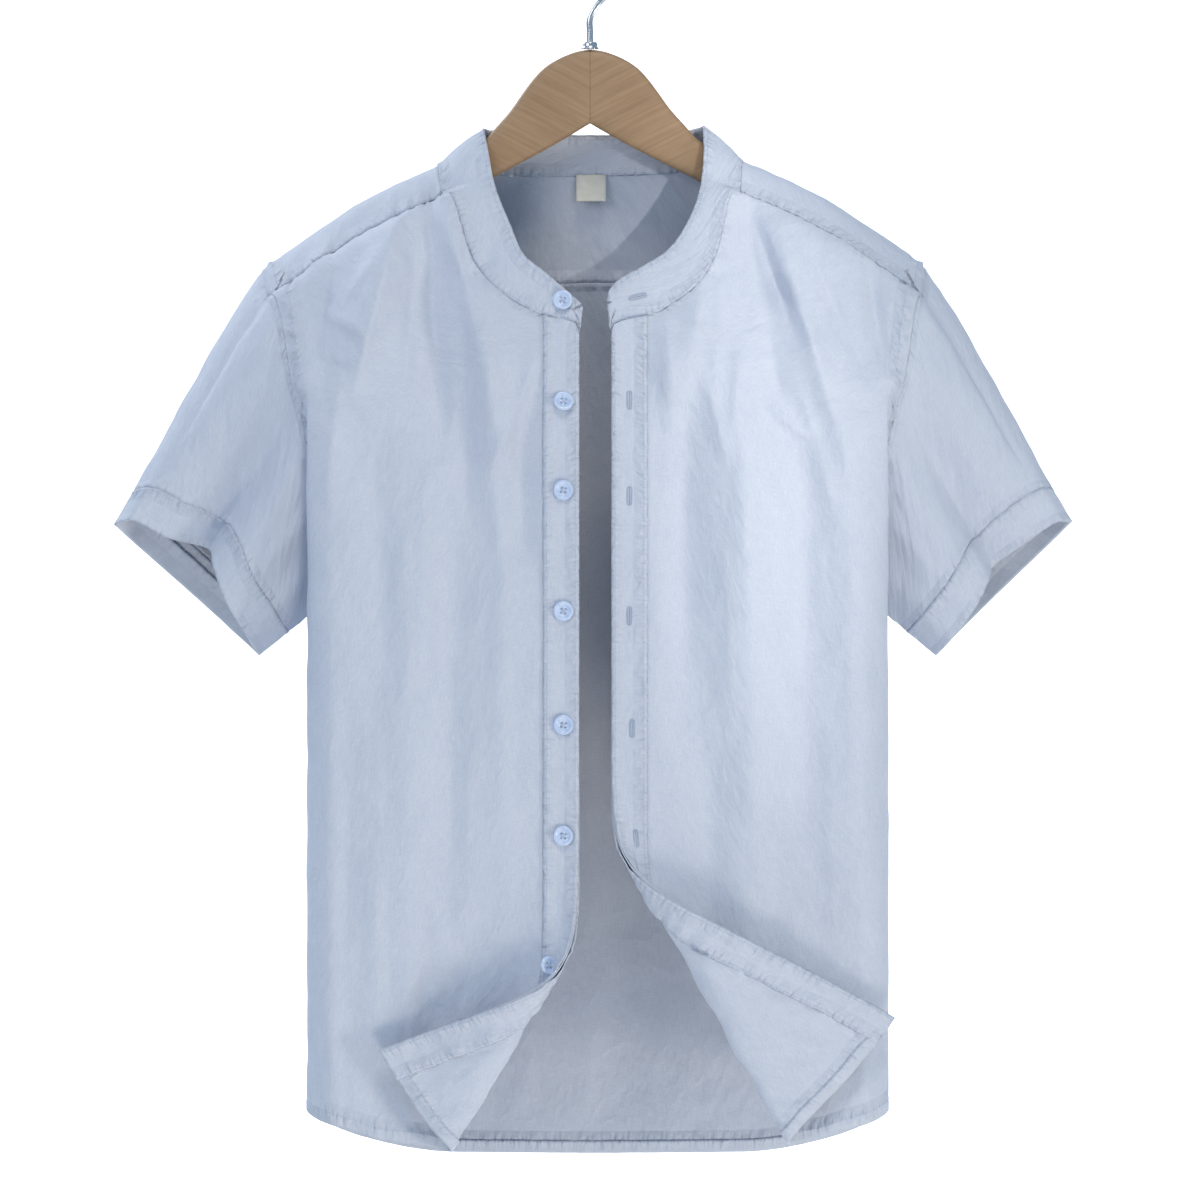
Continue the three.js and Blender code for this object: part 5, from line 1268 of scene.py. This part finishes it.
def threadCross(name, centre, normal):
    # two pairs of threads through the holes, as small arches
    verts, faces = [], []
    steps, turns = cross["steps"], cross["turns"]
    for turn in (math.pi / 4, 3 * math.pi / 4):
        for shift in (-cross["apart"], cross["apart"]):
            first = len(verts)
            for j in range(steps):
                s = -1 + 0.2 * j
                along = cross["reach"] * s
                high = button["floor"] + cross["arch"] * (1 - s**4) - cross["arch"] * (abs(s) > 0.95)
                high += 0.12 if turn > 1 else 0
                for k in range(turns):
                    angle = 2 * math.pi * k / turns
                    across = shift + cross["radius"] * math.cos(angle)
                    x = along * math.cos(turn) - across * math.sin(turn)
                    y = along * math.sin(turn) + across * math.cos(turn)
                    verts.append((x, y, high + cross["radius"] * math.sin(angle)))
            last = first + (steps - 1) * turns
            faces += ringQuads(steps, turns, first)
            faces += [tuple(first + k for k in reversed(range(turns))), tuple(last + k for k in range(turns))]
    return placedMesh(name, verts, faces, centre, normal, thread)


buttonVerts, buttonFaces = buttonMesh()
# sheet, place in the front view, how far it stands off, and how it leans
buttonSpots = [(bandSheet, (-18.9, -255.8), 0.15, (0, 0))]
buttonSpots += [(plackets["right"], (-18.4, z), 0.15, (0, 0)) for z in (-326.5, -388.1, -472.1, -551.2, -628.2)]
buttonSpots += [(plackets["right"], (-26.8, -718.5), 0.3, (1.1, 0))]
buttonSpots[1] = (*buttonSpots[1][:3], (0, 0.35))
for k, (sheet, target, lift, (leanX, leanZ)) in enumerate(buttonSpots):
    point, normal = sheet.at(*spotOn(sheet, target))
    if leanX == 0:
        point[0], point[2] = target
    leaned = unit(normal + np.array([leanX, 0, leanZ]))
    centre = point + normal * (lift + 1.8 * abs(leanZ) + 2.2 * abs(leanX))
    objects[f"button_{k + 1}"] = placedMesh(f"button{k + 1}", buttonVerts, buttonFaces, centre, leaned, shell)
    extras[f"buttonThread{k + 1}"] = (f"button_{k + 1}", threadCross(f"buttonThread{k + 1}", centre, leaned))
print("buttons sewn on")


# ---- wooden bar, hook and ferrule
def woodFinish():
    finish = Finish("hanger wood")
    place = finish.place()
    x, z = [finish.add("ShaderNodeSeparateXYZ", {}, {0: place}, out=axis) for axis in (0, 2)]
    half = abs(x)
    # each half's grain runs down along its arm
    slopes = finish.add("ShaderNodeCombineXYZ", {}, dict(X=half, Y=x * 0.02, Z=z))
    turned = finish.mapping(slopes, turn=(0, math.radians(27), 0))
    grain = finish.noise(finish.mapping(turned, scale=(14, 60, 420)), 1.0, 5.0, 0.62)
    rings = finish.bands(turned, "Z", 34.0, 6.0, 3.0)
    cloud = finish.noise(finish.mapping(turned, scale=(22, 40, 60)), 1.0, 3.0)
    shade = (grain * 0.9 + rings * 0.05 + cloud * 0.4 - 0.2).above(0.0).below(1.0)
    colour = finish.mix(shade, (0.225, 0.126, 0.060), (0.50, 0.325, 0.185))
    joint = 1 - (half / 0.0005).below(1.0)
    colour = finish.mix(joint * 0.55, colour, (0.12, 0.07, 0.04))
    height = grain * 0.8 - joint * 1.5
    finish.set(Base_Color=colour, Roughness=0.42 + grain * 0.2, Normal=finish.bump(height, 0.25, 0.0004),
               Coat_Weight=0.12, Coat_Roughness=0.35)
    return finish.material


def metalFinish():
    finish = Finish("bright wire")
    scuff = finish.noise(finish.mapping(finish.place(), scale=(300, 300, 900)), 1.0, 3.0)
    finish.set(Base_Color=finish.mix(scuff, (0.52, 0.53, 0.55), (0.74, 0.75, 0.77)), Metallic=1.0,
               Roughness=0.14 + scuff * 0.18, Normal=finish.bump(scuff, 0.05, 0.0002))
    return finish.material


def ringsPiece(name, rings, material):
    # closed rows of points, with a fan over each end
    rings = np.array(rings)
    count, turns = rings.shape[:2]
    verts = rings.reshape(-1, 3).tolist() + [rings[0].mean(axis=0).tolist(), rings[-1].mean(axis=0).tolist()]
    lastRing, hub = (count - 1) * turns, count * turns
    faces = ringQuads(count, turns)
    faces += [(hub, (k + 1) % turns, k) for k in range(turns)]
    faces += [(hub + 1, lastRing + k, lastRing + (k + 1) % turns) for k in range(turns)]
    return smoothMesh(name, verts, faces, material)


hanger = dict(half=7.0, power=3.5, turns=56, endFrom=217, endReach=9.0, wire=2.4, wireTurns=20, hookRadius=22.4,
              hookZ=-20.0, stemFoot=-77.6)
woodTopAt = curve(
    [0, 5, 10, 17, 25, 33, 40, 47.5, 56, 65, 76, 90, 107, 133, 168, 192, 210, 222, 226],
    [-78, -78.4, -79.4, -81.8, -85.6, -91, -98.3, -108.2, -120.2, -130.4, -142.2, -152, -161.8, -172.4,
     -190, -206.2, -218.4, -229, -235],
)
woodFootAt = curve(
    [0, 19, 46, 70, 107, 133, 168, 192, 210, 222, 226],
    [-129.8, -141, -155.5, -168, -189, -201, -216, -228, -238, -244, -243],
)
woodXs = np.concatenate([-np.linspace(226, 217, 12), np.linspace(-216, 216, 181), np.linspace(217, 226, 12)])
woodAngles = np.linspace(0, 2 * np.pi, hanger["turns"], endpoint=False)


def roundedUnit(value):
    return np.sign(value) * np.abs(value) ** (2 / hanger["power"])


woodRings = []
for x in woodXs:
    out = abs(x)
    end = math.sqrt(max(0.0, 1 - max(0.0, (out - hanger["endFrom"]) / hanger["endReach"]) ** 2)) * 0.75 + 0.25
    high, low = woodTopAt(out) + body["shoulderTilt"] * x, woodFootAt(out) + body["shoulderTilt"] * x
    half = (high - low) / 2 * (0.35 + 0.65 * end)
    woodRings.append(stack(x, hanger["half"] * end * roundedUnit(np.cos(woodAngles)),
                           (high + low) / 2 + half * roundedUnit(np.sin(woodAngles))))
objects["hanger_wood"] = ringsPiece("hangerBar", woodRings, woodFinish())

wireMetal = metalFinish()
bends = np.radians([-45, -20, 5, 30, 55, 80, 105, 130, 155, 180, 205])
knots = [(0, hanger["stemFoot"]), (0, -66), (0, -56), (5, -46.5)]
knots += [(hanger["hookRadius"] * math.cos(a), hanger["hookZ"] + hanger["hookRadius"] * math.sin(a)) for a in bends]
knots = np.array(knots)


def between(s, low, high, a, b):
    return (high - s) / (high - low) * a + (s - low) / (high - low) * b


def throughPoints(points, steps):
    # centripetal curve through the points
    ends = [2 * points[0] - points[1], *points, 2 * points[-1] - points[-2]]
    found = []
    for k in range(1, len(ends) - 2):
        p = ends[k - 1:k + 3]
        t = [0.0]
        for a, b in zip(p, p[1:]):
            t.append(t[-1] + math.sqrt(np.linalg.norm(b - a)))
        for s in np.linspace(t[1], t[2], steps, endpoint=False):
            first = [between(s, t[i], t[i + 1], p[i], p[i + 1]) for i in range(3)]
            second = [between(s, t[i], t[i + 2], first[i], first[i + 1]) for i in range(2)]
            found.append(between(s, t[1], t[2], *second))
    found.append(points[-1])
    return np.array(found)


wirePath = throughPoints(knots, 9)
wireAngles = np.linspace(0, 2 * np.pi, hanger["wireTurns"], endpoint=False)
wireRings = []
for k, ((x, z), (tx, tz)) in enumerate(zip(wirePath, unit(np.gradient(wirePath, axis=0)))):
    # the wire's free end is rounded off a little
    radius = hanger["wire"] * (0.8 if k == len(wirePath) - 1 else 1.0)
    offs = np.cos(wireAngles)[:, None] * np.array([-tz, 0, tx]) + np.sin(wireAngles)[:, None] * np.array([0, 1.0, 0])
    wireRings.append(np.array([x, 0, z]) + radius * offs)
objects["hanger_hook"] = ringsPiece("hangerHook", wireRings, wireMetal)

ferruleProfile = [(2.7, 0), (6.1, 0), (6.5, 0.3), (6.5, 0.8), (6.1, 1.2), (5.6, 1.6), (5.5, 2.2), (5.5, 4.0),
                  (5.2, 4.7), (4.6, 5.0), (2.7, 5.0)]
ferruleAngles = np.linspace(0, 2 * np.pi, 40, endpoint=False)
ferruleRings = [
    stack(r * np.cos(ferruleAngles), r * np.sin(ferruleAngles), hanger["stemFoot"] + h) for r, h in ferruleProfile
]
objects["hook_ferrule"] = ringsPiece("hookFerrule", ferruleRings, wireMetal)


# ---- blank woven label
def labelFinish():
    finish = Finish("woven label")
    place = finish.place()
    ribs = finish.bands(place, "Z", 560.0, 0.6)
    cloud = finish.noise(place, 220.0, 3.0)
    finish.set(Base_Color=finish.mix(cloud, (0.62, 0.60, 0.52), (0.80, 0.78, 0.70)), Roughness=0.75,
               Normal=finish.bump(ribs * 0.5 + cloud, 0.3, 0.0002))
    return finish.material


label = dict(x=0.7, y=24.6, top=-164.4, width=21.0, height=19.0, thick=0.7, taper=0.01, sag=0.8, bow=0.35)
labelAcross = np.linspace(-0.5, 0.5, 22)[None]
labelDown = np.linspace(0, 1, 20)[:, None]
labelX = label["x"] + labelAcross * label["width"] * (1 - label["taper"] * labelDown)
labelZ = label["top"] - labelDown * label["height"] + 0 * labelX
labelY = label["y"] - label["sag"] * labelDown ** 2 - label["bow"] * np.cos(np.pi * labelAcross) * labelDown
labelSheet = Sheet(stack(labelX, labelY, labelZ), inside=(0, 400, -170))
sew(labelSheet, [dict(edge="top", stitch=1.5, pucker=0.0, wave=5, reach=3, stand=0.0)], 281)
objects["size_label"] = clothPiece("sizeLabel", labelSheet, label["thick"])
objects["size_label"].data.materials.append(labelFinish())
labelPaths = [lifted(labelSheet.line(edge, stitchAt["label"]), 0.05) for edge in ("start", "end")]
extras["labelStitches"] = ("size_label", stitchRow(
    "labelStitches", labelPaths, stitch["pitch"], stitch["length"], stitch["width"], thread))
print("hanger and label finished")


# ---- stage: pale floor that runs up into a plain wall, in metres
stage = dict(half=9.0, front=-9.0, floor=-2.6, bendY=7.0, bend=1.2, wallTop=6.0, white=1.9)


def stageFinish():
    # the wall behind the shirt is lit by itself, so that it shows plain white
    finish = Finish("pale stage")
    depth = finish.add("ShaderNodeSeparateXYZ", {}, {0: finish.place()}, out=1)
    lit = ((depth - stage["white"]) * 1.5).above(0.0).below(1.0)
    finish.set(Base_Color=(0.9, 0.9, 0.9, 1), Roughness=0.9, Emission_Strength=0.9,
               Emission_Color=finish.mix(lit, (0.05, 0.05, 0.05), (1, 1, 1)))
    return finish.material


stageAngles = np.radians(np.linspace(0, 90, 17))
profile = [(stage["front"], stage["floor"])]
profile += [(stage["bendY"] + stage["bend"] * math.sin(a), stage["floor"] + stage["bend"] * (1 - math.cos(a)))
            for a in stageAngles]
profile.append((stage["bendY"] + stage["bend"], stage["wallTop"]))
verts = [(x, y, z) for y, z in profile for x in (-stage["half"], stage["half"])]
faces = [(a, a + 1, a + 3, a + 2) for a in range(0, 2 * len(profile) - 2, 2)]
floor = smoothMesh("stage", verts, faces, stageFinish(), scale=1)

world = bpy.data.worlds.new("studio")
bpy.context.scene.world = world
world.use_nodes = True
sky = world.node_tree.nodes["Background"].inputs
sky["Color"].default_value, sky["Strength"].default_value = (0.53, 0.745, 1.0, 1), 0.47
bpy.context.scene.view_settings.view_transform = "Standard"


def newLight(name, kind, place, aim, power, colour):
    data = bpy.data.lights.new(name, kind)
    data.energy, data.color = power, colour
    obj = newObject(name, data, place)
    obj.rotation_euler = (Vector(aim) - Vector(place)).to_track_quat("-Z", "Y").to_euler()
    return obj


# name, place, aim, size of its square, power, colour
areaLights = [
    ("key", (2.75, -1.6, -1.55), (0.02, 0, -0.42), 0.5, 29, (1.0, 0.92, 0.79)),
    ("low", (0.45, -1.7, -2.35), (0.02, 0, -0.45), 0.6, 13.5, (1.0, 0.88, 0.70)),
    ("fill", (-2.3, -3.0, 1.0), (-0.1, 0, -0.35), 1.6, 27, (1.0, 0.98, 0.98)),
    ("top", (0.2, -1.6, 2.2), (0.0, 0, -0.2), 0.8, 30, (1.0, 0.92, 0.80)),
    ("rim", (-1.5, 0.7, 0.9), (0, 0, -0.4), 1.0, 16, (1.0, 1.0, 1.0)),
]
for name, place, aim, size, power, colour in areaLights:
    light = newLight(name, "AREA", place, aim, power, colour).data
    light.shape, light.size, light.size_y = "RECTANGLE", size, size
# narrow beam that brightens one strip of the left front
patch = dict(place=(1.6, -2.9, -0.1), aim=(0.122, -0.06, -0.32), wide=0.26, angle=13.0, power=130)
spot = newLight("patch", "SPOT", patch["place"], patch["aim"], patch["power"], (1.0, 0.97, 0.915))
spot.data.spot_size, spot.data.spot_blend, spot.data.shadow_soft_size = math.radians(patch["angle"]), 1.0, 0.05
spot.scale = (patch["wide"], 1, 1)
print("stage and lights in place")

# ---- each piece is hung from the root and the CAD part it replaces is hidden; the slot each would take and the cut of each sheet of cloth are worked out but given to nothing
slots = dict(button="button", size="label", hanger_wood="wood", hanger_hook="metal", hook="metal")


def slotOf(node):
    for key, slot in slots.items():
        if node.startswith(key):
            return slot
    return "linen"


for node, obj in objects.items():
    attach(obj, "root")
    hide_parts(node)
    slotOf(node)
for name, (node, obj) in extras.items():
    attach(obj, "root")
    "linen" if "Thread" in name else slotOf(node)

# width and length of each cut piece before sewing, its area in square metres, and what it hangs from
cuts = dict(
    right_front=(0.27, 0.70, 0.149, "yoke"), left_front=(0.27, 0.70, 0.152, "yoke"),
    back=(0.50, 0.63, 0.290, "yoke"), yoke=(0.48, 0.15, 0.0469, "hanger_wood"),
    collar_band=(0.60, 0.038, 0.0166, "yoke"),
    right_sleeve=(0.46, 0.16, 0.0424, "yoke"), left_sleeve=(0.46, 0.16, 0.0415, "yoke"),
    right_cuff=(0.35, 0.030, 0.0094, "right_sleeve"), left_cuff=(0.35, 0.030, 0.0090, "left_sleeve"),
    right_placket=(0.026, 0.60, 0.0143, "right_front"), left_placket=(0.026, 0.60, 0.0141, "left_front"),
    size_label=(0.021, 0.019, 0.0004, "collar_band"),
)
for node, (width, length, area, holder) in cuts.items():
    [obj for at, obj in extras.values() if at == node]
